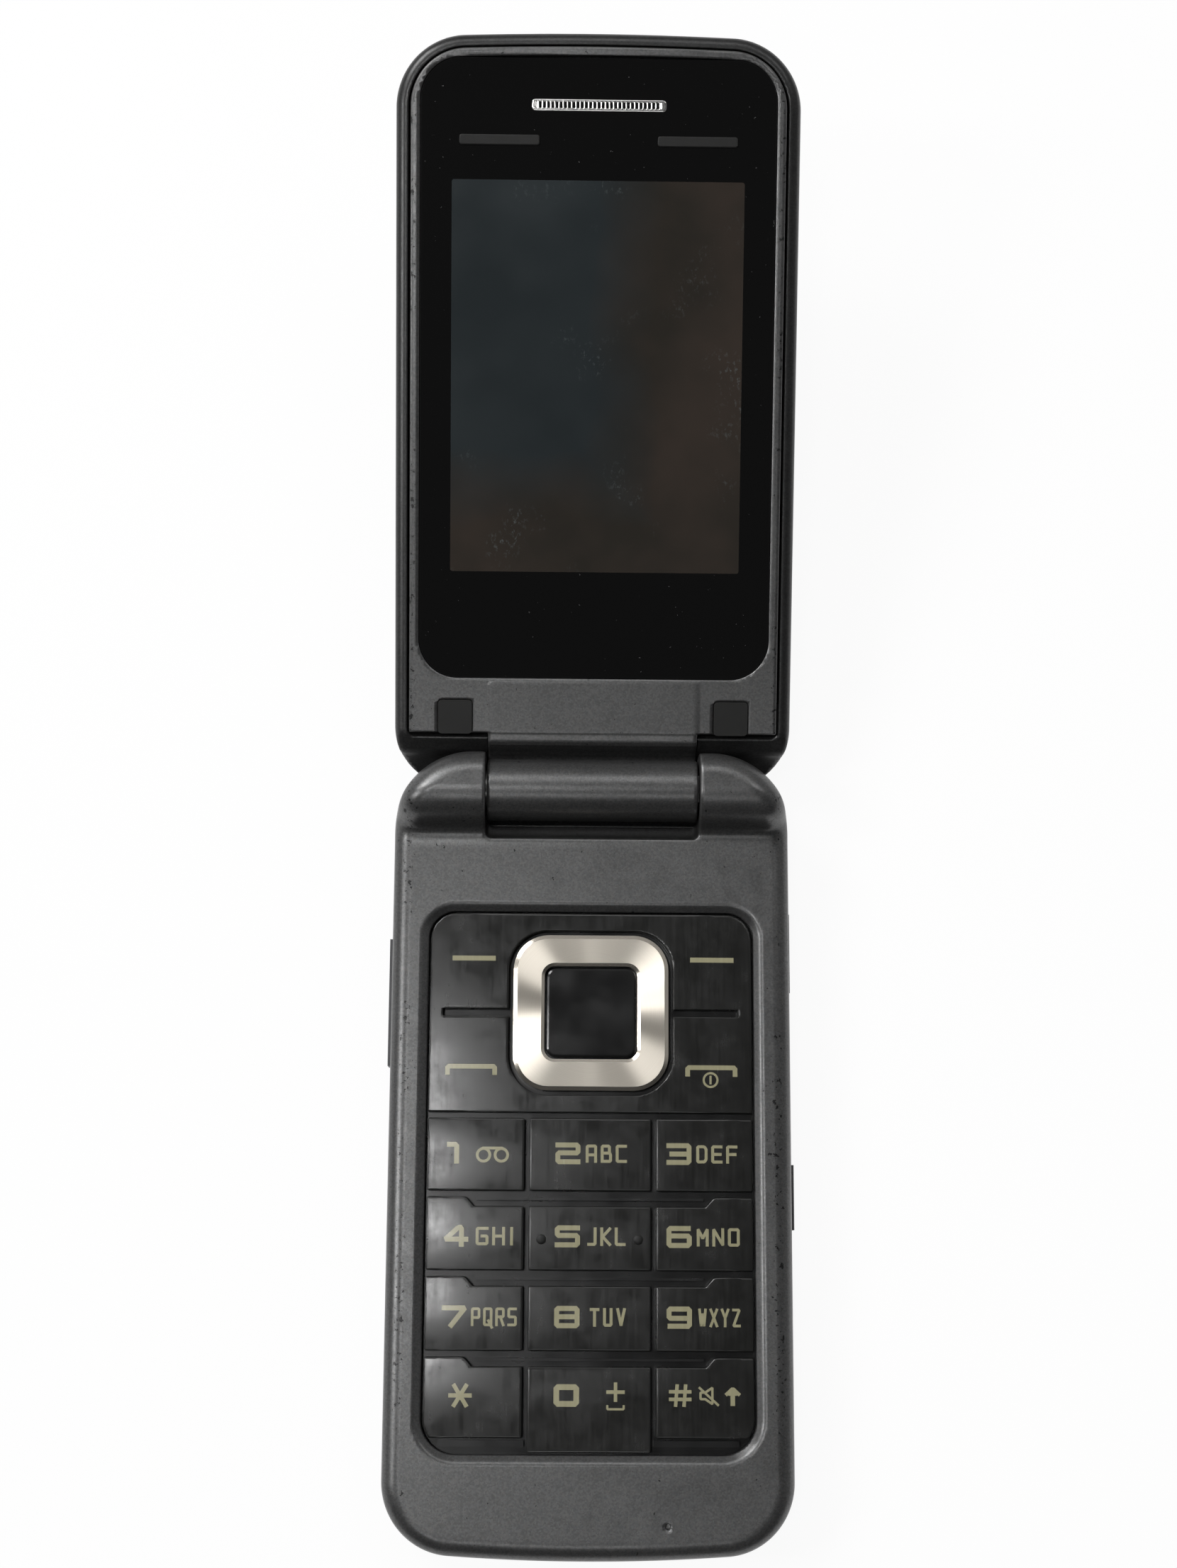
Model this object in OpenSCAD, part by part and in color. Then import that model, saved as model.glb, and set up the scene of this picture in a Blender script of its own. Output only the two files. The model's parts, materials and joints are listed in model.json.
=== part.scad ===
// Flip phone, opened out on its back: a base with sprung keys, a hinged lid with
// the display, and what both hold inside.
// Frame: +X right, +Y from the keypad to the lid's tip, +Z up out of the keypad.
// The origin is the middle of the base's flat back. The lid is drawn open, and its
// hinge closes it. Lid parts are built in the lid's own frame: the hinge axis is the
// origin, +Y runs to the lid's tip and +Z out of its inner face.

/* [Body] */
// Width of the base and the lid
body_w = 50.4; // [50:0.2:56]
// Length of the base, from its free end to the back of its hinge ears
base_l = 99; // [98:0.5:108]
// Radius of the plan corners at both free ends
corner_r = 8.9; // [7:0.1:10]
// Radius of the curve that both free ends are bowed to
bow_r = 240; // [160:10:400]
// Wall of the housings
wall = 1.4; // [1.2:0.1:1.6]
// Thickness of the deck around the keypad
deck_t = 1.2; // [1:0.1:1.4]
// Rounding of the base's deck edge
deck_edge_r = 2.4; // [1.6:0.1:2.8]
// Rounding of the back edges of the base and the lid
back_edge_r = 2.6; // [1.6:0.1:3]
// Height of the parting line between the two base housings
split_z = 4.7; // [4.2:0.1:5]
// Clearance between pieces that are fitted together and stay still
fit_gap = 0.1; // [0.05:0.01:0.15]
// Length of the slots in the loudspeaker grille
speaker_slot_l = 8; // [5:0.5:12]

/* [Hinge] */
// Angle between the closed and the open lid
open_angle = 163; // [150:1:166]
// Radius of the hinge ears at both sides of the base
ear_r = 4.7; // [4.5:0.1:5]
// Radius of the ears' plan corners
ear_corner_r = 10.2; // [8:0.2:10.8]
// Rounding of the ears' outer ends
ear_edge_r = 4; // [3:0.2:4.4]
// Radius of the lid's barrel between the ears
barrel_r = 3.9; // [3.7:0.05:4.1]
// Length of the lid's barrel
barrel_l = 26.2; // [25:0.2:28]
// Gap between each end of the barrel and its ear
barrel_gap = 0.4; // [0.2:0.05:0.6]
// Radius of the slot that the barrel turns in
slot_r = 6.1; // [6:0.1:6.4]
// Radius of the bore through the barrel and into the ears
hinge_bore_r = 2.6; // [2.4:0.05:2.7]
// Running clearance on the radius of turning hinge parts
run_gap = 0.05; // [0.03:0.01:0.08]
// Radius of the hinge shaft
shaft_r = 1; // [0.8:0.05:1.1]
// Depth that the hinge shaft and sleeve reach into the ears
socket_l = 3.6; // [3:0.1:4.4]
// Wire of the hinge spring
spring_wire = 0.5; // [0.4:0.05:0.55]
// Number of turns of the hinge spring
spring_turns = 5; // [3:1:6]

/* [Keypad] */
// Distance from the hinge axis to the keypad window
window_from_hinge = 15.5; // [15:0.1:17]
// Width of each outer column of keys
side_key_w = 11.95; // [11.5:0.05:12.5]
// Width of the middle column of keys
mid_key_w = 15; // [14.5:0.1:15.5]
// Gap between two columns
column_gap = 0.65; // [0.5:0.05:0.8]
// Gap between two rows
row_gap = 0.72; // [0.6:0.02:0.9]
// Height of a key in the first three number rows
row_h = 8.9; // [8.4:0.1:9.2]
// Height of a key in the last row
last_row_h = 9.55; // [9:0.05:9.9]
// Length of the tab below the middle key of the last row
tab_h = 1.7; // [1.4:0.1:2.2]
// Height of the block of function keys
nav_h = 24.85; // [24.6:0.05:25.4]
// Gap between the outermost keys and the window
rim_gap = 0.25; // [0.2:0.05:0.35]
// Radius of the window's upper corners
window_top_r = 3.4; // [2.5:0.1:4]
// Radius of the window's lower corners
window_low_r = 4.2; // [3:0.1:5]
// Width of the bevel around the window
bevel_w = 0.95; // [0.6:0.05:1]
// Depth of the bevel around the window
bevel_h = 0.7; // [0.4:0.05:0.8]
// Depth of the relief in the upper edge of the number rows
relief_h = 1.15; // [0.8:0.05:1.3]
// Half width of the relief at the key's edge
relief_half_w = 15.3; // [14.5:0.1:16]
// Thickness of the key caps
key_t = 1.45; // [1.2:0.05:1.8]
// Depth of the key tops below the deck
key_drop = 0.2; // [0.1:0.05:0.3]
// Travel of a key
key_travel = 0.3; // [0.2:0.05:0.35]
// Outer width of the navigation ring
ring_w = 19.4; // [18.6:0.1:19.8]
// Outer corner radius of the navigation ring
ring_r = 4.4; // [3.5:0.1:5]
// Width of the opening in the navigation ring
ring_hole_w = 11.6; // [11:0.1:12.2]
// Thickness of the navigation ring
ring_t = 1.3; // [1:0.1:1.4]
// Height of the navigation ring above the deck
ring_rise = 0.05; // [0:0.05:0.15]
// Gap around the navigation ring
ring_gap = 0.6; // [0.5:0.05:0.8]
// Distance from the window's upper edge to the middle of the ring
ring_from_window = 12.7; // [12.5:0.05:12.9]
// Half length of the whole of a slit, from the ring's middle line to its outer end
slit_end = 18.5; // [17:0.1:19]
// Height of the slits beside the ring
slit_h = 0.9; // [0.5:0.1:1]
// Seam between two function keys
seam = 0.05; // [0.04:0.01:0.1]

/* [Inside the base] */
// Thickness of the battery cover
cover_t = 1.3; // [1.1:0.1:1.5]
// Width of the battery
battery_w = 34; // [32:0.5:35]
// Length of the battery
battery_l = 48; // [44:0.5:48.5]
// Thickness of the battery
battery_t = 4; // [3.8:0.1:4.6]
// Thickness of the wall between the battery and the main board
bay_wall = 0.5; // [0.4:0.05:0.7]
// Thickness of the main board
board_t = 0.6; // [0.5:0.05:0.8]
// Height of the switch domes with their sheet
dome_h = 0.3; // [0.25:0.01:0.4]
// Radius of a switch dome
dome_r = 2; // [1.6:0.1:2.4]
// Thickness of the silicone keypad web
web_t = 0.5; // [0.4:0.05:0.7]
// Travel of the battery cover
cover_travel = 6; // [4:0.5:8]
// Radius of the base and lid screws
screw_r = 0.8; // [0.6:0.05:0.9]
// Radius of the screw heads
screw_head_r = 1.5; // [1.3:0.05:1.7]

/* [Lid] */
// Gap between the deck and the closed lid
lid_gap = 0.4; // [0.3:0.05:0.6]
// How far the lid's back wraps past the hinge axis
lid_wrap = 1.1; // [0.6:0.1:1.5]
// Radius of the lid's plan corners at the hinge
lid_corner_r = 9.1; // [7:0.1:10]
// Width of the outer cover's band around the inner frame
band_w = 1.6; // [1.3:0.05:1.7]
// Groove between the outer cover and the inner frame
groove_w = 0.25; // [0.15:0.05:0.35]
// Depth of the outer cover's rim below the inner face
band_drop = 0.6; // [0.3:0.05:0.8]
// Rounding of the outer cover's rim
band_edge_r = 0.9; // [0.5:0.1:1.2]
// Skin of the outer cover
lid_skin = 1.2; // [1:0.1:1.3]
// Distance from the lid's side to the display window
window_side = 3.1; // [2.9:0.1:3.6]
// Distance from the lid's tip to the display window
window_tip = 3; // [2.8:0.1:3.6]
// Distance from the hinge axis to the display window
glass_from_hinge = 14.3; // [14:0.1:14.8]
// Corner radius of the display window
glass_r = 4.9; // [4:0.1:6]
// Thickness of the display window
glass_t = 1; // [0.8:0.05:1.2]
// Distance from the window's side to the display module
lcd_side = 1.6; // [1.2:0.1:2.4]
// Clear way between the display module and the earpiece speaker
lcd_clearance = 2.7; // [1.5:0.1:3.5]
// Thickness of the display module
lcd_t = 2.2; // [1.8:0.1:2.4]
// Distance from the hinge axis to the display module
lcd_from_hinge = 24; // [23:0.5:24.5]
// Thickness of the lid's board
lid_board_t = 0.6; // [0.5:0.05:0.8]
// Room behind the lid's board
lid_room = 1.65; // [1.5:0.05:1.9]
// Width of the earpiece grille
grille_w = 16.7; // [14:0.1:18]
// Height of the earpiece grille
grille_h = 1.45; // [1.2:0.05:1.8]
// Distance from the lid's tip to the earpiece grille
grille_from_tip = 9; // [8.2:0.1:9.8]
// Length of the two bumpers on the window
bumper_l = 10; // [8:0.2:12]
// Height of the bumpers above the window
bumper_rise = 0.15; // [0.1:0.05:0.2]
// Width of the square screw caps by the hinge
cap_w = 4.3; // [4:0.1:4.8]
// Distance of the screw caps from the lid's middle line
cap_x = 17.5; // [17.2:0.1:18]
// Distance from the hinge axis to the screw caps
cap_from_hinge = 9.3; // [9.2:0.05:9.6]
// Radius of the camera window
camera_r = 3.4; // [3:0.1:3.8]
// Distance from the hinge axis to the camera
camera_from_hinge = 19; // [18.5:0.5:21]
// Width of the status window in the lid's back
status_w = 24; // [20:0.5:28]
// Height of the status window in the lid's back
status_h = 7; // [6:0.5:8]
// Distance from the hinge axis to the status window
status_from_hinge = 32; // [31:0.5:36]

/* [Hidden] */

$fn = 48;
// Number of steps in a rounded edge, and in each arc of a softened outline
edge_steps = 4;
corner_steps = 10;
// Overlap of pieces of one solid that would only touch
slice_t = 0.01;
// Small overlap that makes a cut run clean through a face
cut = 0.5;
// Longer than any size of the phone, for cuts that run right out
far = 300;

// Heights of the stack in the base, from the back up to the deck
battery_z = cover_t + fit_gap;
bay_top = battery_z + battery_t + fit_gap;
board_z = bay_top + bay_wall;
board_top = board_z + board_t;
web_z = board_top + dome_h;
web_top = web_z + web_t;
key_rest_gap = 0.05;
key_z = web_top + key_travel + key_rest_gap;
key_top = key_z + key_t;
base_t = key_top + key_drop;
deck_under = base_t - deck_t;
bevel_z = base_t - bevel_h;
ring_top = base_t + ring_rise;
ring_z = ring_top - ring_t;

// Hinge axis
hinge_y = base_l / 2 - ear_r;
hinge_z = base_t + lid_gap / 2;
free_y = -base_l / 2;
slot_half_l = barrel_l / 2 + barrel_gap;
// Inner end of the room in the base, clear of the slot's wall
room_end_y = hinge_y - slot_r - wall;
room_corner_r = 2;

// Heights in the lid's frame
inner_z = -lid_gap / 2;
glass_under = inner_z - glass_t;
lcd_gap = 0.05;
lcd_top = glass_under - lcd_gap;
lcd_under = lcd_top - lcd_t;
lid_board_top = lcd_under - fit_gap;
lid_board_z = lid_board_top - lid_board_t;
room_z = lid_board_z - lid_room;
back_z = room_z - lid_skin;
rim_z = inner_z - band_drop;
lid_reach = hinge_y - free_y;
window_w = body_w - 2 * window_side;
window_l = lid_reach - window_tip - glass_from_hinge;
lcd_w = window_w - 2 * lcd_side;
grille_from_hinge = lid_reach - grille_from_tip;
earpiece_w = 15;
earpiece_l = 7.2;
lcd_l = grille_from_hinge - earpiece_l / 2 - lcd_clearance - lcd_from_hinge;
frame_inset = band_w + groove_w;
frame_t = 1.5;
frame_under = inner_z - frame_t;

// Recess of the lid around the ears
recess_r = ear_r + 0.4;
recess_end = ear_r + 2.5;
apron_end = 5.6;
frame_start = cap_from_hinge + cap_w / 2 + 0.2;
// Gap between the lid's hinge edge and its stop on the base when open
stop_gap = 0.12;

// Keypad window and rows
keys_w = 2 * side_key_w + mid_key_w + 2 * column_gap;
window_half_w = keys_w / 2 + rim_gap;
window_top_y = hinge_y - window_from_hinge;
keys_top_y = window_top_y - rim_gap;
nav_low_y = keys_top_y - nav_h;
function row_top(r) = nav_low_y - row_gap - r * (row_h + row_gap);
function row_low(r) = row_top(r) - (r == 3 ? last_row_h : row_h);
tab_low_y = row_low(3) - tab_h;
window_low_y = tab_low_y - rim_gap;
ring_y = window_top_y - ring_from_window;
column_x = [-mid_key_w / 2 - column_gap - side_key_w, -mid_key_w / 2, mid_key_w / 2 + column_gap];
column_w = [side_key_w, mid_key_w, side_key_w];

// Places of the pieces in the base
battery_low_y = free_y + 16;
battery_top_y = battery_low_y + battery_l;
contact_l = 4;
holder_y = battery_top_y + contact_l + 0.5;
free_screw_x = body_w / 2 - 5.8;
free_screw_y = free_y + 6.1;
hinge_screw_x = body_w / 2 - 4.6;
hinge_screw_y = room_end_y - 3.4;
cover_end_y = hinge_screw_y + screw_head_r + 0.7;
sim_l = 15.4;
sim_w = 25.4;
mic_x = 9.6;
mic_from_end = 4.4;
mic_y = free_y + mic_from_end;
mic_hole_r = 0.35;
base_screw_at = [for (side = [-1, 1]) each [
  [side * hinge_screw_x, hinge_screw_y], [side * free_screw_x, free_screw_y]]];
boss_r = screw_r + 1;
screw_head_t = 0.7;
screw_z = battery_z + screw_head_t;
screw_top = deck_under - 0.8;
parts_y = free_y + 8.5;
// Half width of the room for the pieces at the free end, clear of the screws
parts_half_w = free_screw_x - boss_r - 0.7;
speaker_w = 16;
speaker_l = 9;
motor_r = 1.9;
usb_y = 24.5;
usb_w = 7.6;
usb_l = 5.2;
usb_h = 2.5;
flap_w = 10;
flap_h = 4;
flap_t = 1.1;
flap_z = board_z - usb_h / 2;
rocker_y = 18;
rocker_l = 16;
side_key_h = 3;
side_key_z = split_z + 0.3;
side_key_rise = 0.25;
side_key_t = wall + side_key_rise + 0.3;
flange_t = 0.3;
flange_w = 0.6;
camera_key_y = -6;
camera_key_l = 8;
side_gap = 0.15;
// Side, middle and length of each button bar
side_keys = [[-1, rocker_y, rocker_l], [1, camera_key_y, camera_key_l]];
switch_t = 1;
board_w = body_w - 2 * (wall + 1.1);
// Thickness of the web's ribs, and their distance below the upper edge of a row
rib_h = 0.3;
rib_drop = relief_h / 4;

// ---------------------------------------------------------------- shared shapes

// A rectangle about X = 0 with its own corner radius at each end
module round_plan(w, y_low, y_high, r_low, r_high) {
  translate([-w / 2, y_low + r_low]) square([w, y_high - y_low - r_low - r_high]);
  translate([-w / 2 + r_low, y_low]) square([w - 2 * r_low, r_low + slice_t]);
  translate([-w / 2 + r_high, y_high - r_high - slice_t]) square([w - 2 * r_high, r_high + slice_t]);
  for (side = [-1, 1]) {
    translate([side * (w / 2 - r_low), y_low + r_low]) circle(r_low);
    translate([side * (w / 2 - r_high), y_high - r_high]) circle(r_high);
  }
}

module round_box(w, y_low, y_high, z_low, z_high, r_low, r_high)
  translate([0, 0, z_low]) linear_extrude(z_high - z_low)
    round_plan(w, y_low, y_high, r_low, r_high);

// A square-cornered box from its lowest to its highest corner
module box(low, high) translate(low) cube(high - low);

// A bar along X with the given radius, centred on the local origin
module bar_x(r, x_low, x_high) translate([x_low, 0, 0]) rotate([0, 90, 0]) cylinder(r = r, h = x_high - x_low);

module tube_x(r_out, r_in, x_low, x_high) difference() {
  bar_x(r_out, x_low, x_high);
  bar_x(r_in, x_low - cut, x_high + cut);
}

// A profile drawn in Y and Z, run along X
module along_x(x_low, x_high) translate([x_low, 0, 0]) rotate([90, 0, 90])
  linear_extrude(x_high - x_low) children();

function arc(centre, r, from, to, steps) = [for (k = [0 : steps])
  let (turn = from + (to - from) * k / steps) centre + r * [cos(turn), sin(turn)]];

// Outline of a rectangle with round corners and one bowed end, set in by a margin.
// The corners by the bowed end run smoothly into its curve.
function bowed_outline(w, y_free, y_hinge, r_free, r_hinge, inset) = let (
  up = y_hinge > y_free ? 1 : -1,
  high = up * y_hinge,
  side_x = w / 2 - r_free,
  bow_y = up * y_free + bow_r,
  side_y = bow_y - sqrt(pow(bow_r - r_free, 2) - pow(side_x, 2)),
  lean = atan2(side_x, bow_y - side_y),
  right = arc([side_x, side_y], r_free - inset, 270 + lean, 360, corner_steps),
  points = concat(
    arc([0, bow_y], bow_r - inset, 270 - lean, 270 + lean, corner_steps),
    [for (k = [1 : corner_steps]) right[k]],
    arc([w / 2 - r_hinge, high - r_hinge], r_hinge - inset, 0, 90, corner_steps),
    arc([r_hinge - w / 2, high - r_hinge], r_hinge - inset, 90, 180, corner_steps),
    [for (k = [corner_steps : -1 : 1]) [-right[k][0], right[k][1]]]))
  up > 0 ? points : [for (k = [len(points) - 1 : -1 : 0]) [points[k][0], -points[k][1]]];

function at_height(outline, z) = [for (point = outline) [point[0], point[1], z]];

// A closed solid through loops of as many points each, from the lowest up
module loft(loops) {
  n = len(loops[0]);
  walls = [for (k = [1 : len(loops) - 1]) for (j = [0 : n - 1])
    [(k - 1) * n + j, k * n + j, k * n + (j + 1) % n, (k - 1) * n + (j + 1) % n]];
  polyhedron([for (loop = loops) each loop],
    concat(walls, [[for (j = [0 : n - 1]) j], [for (j = [n - 1 : -1 : 0]) (len(loops) - 1) * n + j]]));
}

// A slab with rounded lower and upper edges. outline gives its plan for a margin.
module soft_slab(outline, z_low, z_high, low_r, high_r) {
  turns = [for (step = [0 : edge_steps]) 90 * step / edge_steps];
  loft(concat(
    [for (turn = turns) at_height(outline(low_r * (1 - sin(turn))), z_low + low_r * (1 - cos(turn)))],
    [for (k = [edge_steps : -1 : 0])
      at_height(outline(high_r * (1 - sin(turns[k]))), z_high - high_r * (1 - cos(turns[k])))]));
}

module at_hinge() translate([0, hinge_y, hinge_z]) children();

// From the lid's own frame to the place of the open lid
module on_lid() at_hinge() rotate([180 - open_angle, 0, 0]) children();

// ---------------------------------------------------------------- base housings

base_outline = function(inset) bowed_outline(body_w, free_y, -free_y, corner_r, ear_corner_r, inset);

// What the open lid's back edge needs behind the hinge, with its stop
module lid_room_behind() {
  on_lid() box([-far, -lid_wrap - stop_gap, -far], [far, far, far]);
  foot_y = hinge_y + (hinge_z * sin(180 - open_angle) - lid_wrap - stop_gap) / cos(180 - open_angle);
  translate([0, foot_y, 0]) rotate([45, 0, 0]) cube([far, back_edge_r, back_edge_r], center = true);
}

module base_slab() difference() {
  soft_slab(base_outline, 0, base_t, back_edge_r, deck_edge_r);
  lid_room_behind();
  at_hinge() bar_x(slot_r, -slot_half_l, slot_half_l);
}

// The ears' side profile: a round bar with a small fillet on to the deck. The fillet
// cuts a hair deeper than its tangent circle, so that it meets both at a crisp edge.
module ear_profile() {
  fillet_r = 1;
  fillet_z = base_t - hinge_z + fillet_r;
  fillet_y = -sqrt(pow(ear_r + fillet_r, 2) - pow(fillet_z, 2));
  circle(ear_r);
  difference() {
    translate([fillet_y, fillet_z - fillet_r - 0.2]) square([fillet_r + 0.6, fillet_r + 0.2]);
    translate([fillet_y, fillet_z]) circle(fillet_r + 0.03);
  }
}

module ears() intersection() {
  soft_slab(base_outline, 0, hinge_z + ear_r, back_edge_r, ear_edge_r);
  for (side = [0, 1]) mirror([side, 0, 0]) at_hinge() along_x(slot_half_l, body_w) ear_profile();
}

module base_screw_places() for (at = base_screw_at) translate([at[0], at[1], 0]) children();

// The keypad window's outline, grown by a margin
module window_plan(grow) round_plan(2 * (window_half_w + grow), window_low_y - grow, window_top_y + grow,
  window_low_r + grow, window_top_r + grow);

// The same outline as points, for the bevel
function window_outline(grow) = let (x_low = window_half_w - window_low_r, x_top = window_half_w - window_top_r)
  concat(
    arc([x_low, window_low_y + window_low_r], window_low_r + grow, 270, 360, corner_steps),
    arc([x_top, window_top_y - window_top_r], window_top_r + grow, 0, 90, corner_steps),
    arc([-x_top, window_top_y - window_top_r], window_top_r + grow, 90, 180, corner_steps),
    arc([-x_low, window_low_y + window_low_r], window_low_r + grow, 180, 270, corner_steps));

module keypad_opening() {
  translate([0, 0, deck_under - cut]) linear_extrude(deck_t + 2 * cut) window_plan(0);
  // The bevel's slope runs on a little below and above its own height
  loft([for (over = [-0.1, 1 + cut / bevel_h])
    at_height(window_outline(bevel_w * over), bevel_z + bevel_h * over)]);
}

// Openings in the base's sides for its buttons and its socket
module side_openings() {
  for (part = side_keys) let (half_l = part[2] / 2 + side_gap, half_h = side_key_h / 2 + side_gap)
    translate([part[0] * (body_w / 2 + far / 2 - wall - side_gap), part[1], side_key_z])
      cube([far, 2 * half_l, 2 * half_h], center = true);
  flap_pocket();
  box([body_w / 2 - wall - usb_l, usb_y - usb_w / 2 - fit_gap, flap_z - usb_h / 2 - fit_gap],
    [far, usb_y + usb_w / 2 + fit_gap, flap_z + usb_h / 2 + fit_gap]);
}

module front_housing() color("#57575b") difference() {
  union() {
    difference() {
      union() {
        difference() {
          base_slab();
          box([-far, -far, -far], [far, far, split_z]);
        }
        ears();
      }
      round_box(body_w - 2 * wall, free_y + wall, room_end_y, split_z - cut, deck_under,
        corner_r - wall, room_corner_r);
      keypad_opening();
      side_openings();
    }
    base_screw_places() translate([0, 0, board_z]) cylinder(r = boss_r, h = deck_under - board_z + slice_t);
  }
  base_screw_places() cylinder(r = screw_r + run_gap, h = screw_top + fit_gap);
  translate([mic_x, mic_y, deck_under - cut]) cylinder(r = mic_hole_r, h = deck_t + 2 * cut);
  at_hinge() {
    // Socket of the hinge sleeve in the left ear, and the flex cable's way down
    bar_x(hinge_bore_r, -slot_half_l - socket_l, -slot_half_l + cut);
    bar_x(hinge_bore_r - 0.7, -slot_half_l - socket_l - flex_w - 1, -slot_half_l);
    // Square socket of the hinge shaft in the right ear
    box([slot_half_l - cut, -shaft_square / 2 - slice_t, -shaft_square / 2 - slice_t],
      [slot_half_l + socket_l, shaft_square / 2 + slice_t, shaft_square / 2 + slice_t]);
  }
  flex_passage();
}

// Way of the flex cable from the room in the base up into the left ear
module flex_passage() {
  side = [flex_x - 0.3, flex_x + flex_w + 0.3];
  box([side[0], room_end_y - 1, board_top + 0.1], [side[1], hinge_y + 0.5, board_top + 0.9]);
  box([side[0], hinge_y - 0.5, board_top + 0.1], [side[1], hinge_y + 0.5, hinge_z]);
}

// What the battery cover takes of the base, with a little growth in length
module cover_zone(grow) box([-far, -far, -far], [far, cover_end_y + grow, cover_t + (grow > 0 ? fit_gap / 2 : 0)]);

module rail(grow) for (side = [-1, 1])
  box([side * rail_x - rail_w / 2 - grow, rail_low_y, cover_t - slice_t],
    [side * rail_x + rail_w / 2 + grow, rail_low_y + rail_l, cover_t + rail_h + grow]);
rail_x = body_w / 2 - 4.4;
rail_w = 1.2;
rail_h = 0.8;
rail_l = 40;
// Clears the heads of the screws at the free end when the cover has slid
rail_low_y = free_screw_y + screw_head_r + cover_travel + 0.9;

module rear_housing() color("#4b4b4f") difference() {
  union() {
    difference() {
      base_slab();
      box([-far, -far, split_z], [far, far, far]);
      cover_zone(fit_gap);
    }
    round_box(body_w - 2 * (wall + fit_gap), free_y + wall + fit_gap, room_end_y - fit_gap,
      split_z - cut, board_z, corner_r - wall - fit_gap, room_corner_r);
  }
  // Battery bay, then the rooms for the holder, the contacts and the pieces at the free end
  box([-battery_w / 2 - fit_gap, battery_low_y - fit_gap, -cut],
    [battery_w / 2 + fit_gap, battery_top_y + fit_gap, bay_top]);
  box([-sim_w / 2 - 6, holder_y - fit_gap, -cut], [sim_w / 2 + 6, holder_y + sim_l + fit_gap, board_z + cut]);
  box([battery_w / 2 - 12, battery_top_y - fit_gap, -cut],
    [battery_w / 2, holder_y, board_z + cut]);
  box([-parts_half_w - 0.3, parts_y - speaker_l / 2 - 0.3, cover_t + 0.7],
    [parts_half_w + 0.3, parts_y + speaker_l / 2 + 0.3, board_z + cut]);
  speaker_slots(cover_t - cut, board_z);
  side_openings();
  rocker_room();
  // Grooves for the battery cover's rails, open towards the free end
  for (side = [-1, 1]) box([side * rail_x - rail_w / 2 - fit_gap, rail_low_y - cover_travel - fit_gap, -cut],
    [side * rail_x + rail_w / 2 + fit_gap, rail_low_y + rail_l + fit_gap, cover_t + rail_h + fit_gap]);
  base_screw_places() {
    translate([0, 0, -cut]) cylinder(r = screw_head_r + fit_gap, h = screw_z + cut);
    cylinder(r = screw_r + run_gap, h = board_z + cut);
  }
}

// Room behind the side buttons for their travel and switches
module rocker_room() for (part = side_keys)
  translate([part[0] * (body_w / 2 - wall - 1.6), part[1], side_key_z])
    cube([4, part[2] + 1.6, side_key_h + 1], center = true);

module speaker_slots(z_low, z_high) for (k = [-2 : 2])
  box([-speaker_slot_l / 2, parts_y + 1.5 * k - 0.35, z_low], [speaker_slot_l / 2, parts_y + 1.5 * k + 0.35, z_high]);

module battery_cover() color("#4b4b4f") {
  difference() {
    intersection() {
      base_slab();
      cover_zone(0);
    }
    speaker_slots(-cut, cover_t + cut);
  }
  rail(0);
}

// ---------------------------------------------------------------- inside the base

module battery() color("#b9bcc0") translate([0, 0, battery_z]) linear_extrude(battery_t)
  round_plan(battery_w, battery_low_y, battery_top_y, 1, 1);

module battery_contacts() color("#c8a24a") {
  contact_half_w = 5;
  contact_pitch = 3;
  contact_r = 0.6;
  contact_x = battery_w / 2 - contact_half_w - 1;
  box([contact_x - contact_half_w, battery_top_y + fit_gap, battery_z + 0.8],
    [contact_x + contact_half_w, battery_top_y + contact_l, board_z]);
  for (k = [-1 : 1]) translate([contact_x + contact_pitch * k, battery_top_y + fit_gap, battery_z + battery_t / 2])
    rotate([90, 0, 0]) cylinder(r = contact_r, h = fit_gap);
}

module board_plan() difference() {
  round_plan(board_w, free_y + wall + 0.7, room_end_y - 0.6, corner_r - wall - 0.7, room_corner_r);
  for (at = base_screw_at) translate([at[0], at[1]]) circle(boss_r + 0.5);
}

module main_board() color("#1f5a3a") translate([0, 0, board_z]) linear_extrude(board_t) board_plan();

can_w = 28;
can_t = 0.2;
module shield_can() color("#c4c7ca") difference() {
  can_top = deck_under - can_t;
  low_y = window_top_y + 1.4;
  high_y = room_end_y - 0.8;
  box([-can_w / 2, low_y, board_top], [can_w / 2, high_y, can_top]);
  box([-can_w / 2 + can_t, low_y + can_t, board_top - cut], [can_w / 2 - can_t, high_y - can_t, can_top - can_t]);
}

// Middles of the number keys, from the first to the last
key_at = [for (r = [0 : 3]) for (c = [0 : 2]) [column_x[c] + column_w[c] / 2, (row_top(r) + row_low(r)) / 2]];
function_key_x = window_half_w - 5;
function_key_at = [for (side = [-1, 1]) for (up = [-1, 1]) [side * function_key_x, ring_y + up * nav_h / 4]];
ring_switch = ring_w / 2 - 2;
ring_switch_at = [for (turn = [0 : 90 : 270]) [ring_switch * cos(turn), ring_y + ring_switch * sin(turn)]];

module dome_sheet() color("#d9d4c6") {
  sheet_t = 0.1;
  round_box(keys_w - 1, window_low_y + 1, window_top_y - 1, board_top, board_top + sheet_t, 2, 2);
  for (at = concat(key_at, function_key_at, ring_switch_at, [[0, ring_y]]))
    translate([at[0], at[1], board_top + sheet_t]) cylinder(r1 = dome_r, r2 = dome_r * 0.55, h = dome_h - sheet_t);
}

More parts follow.
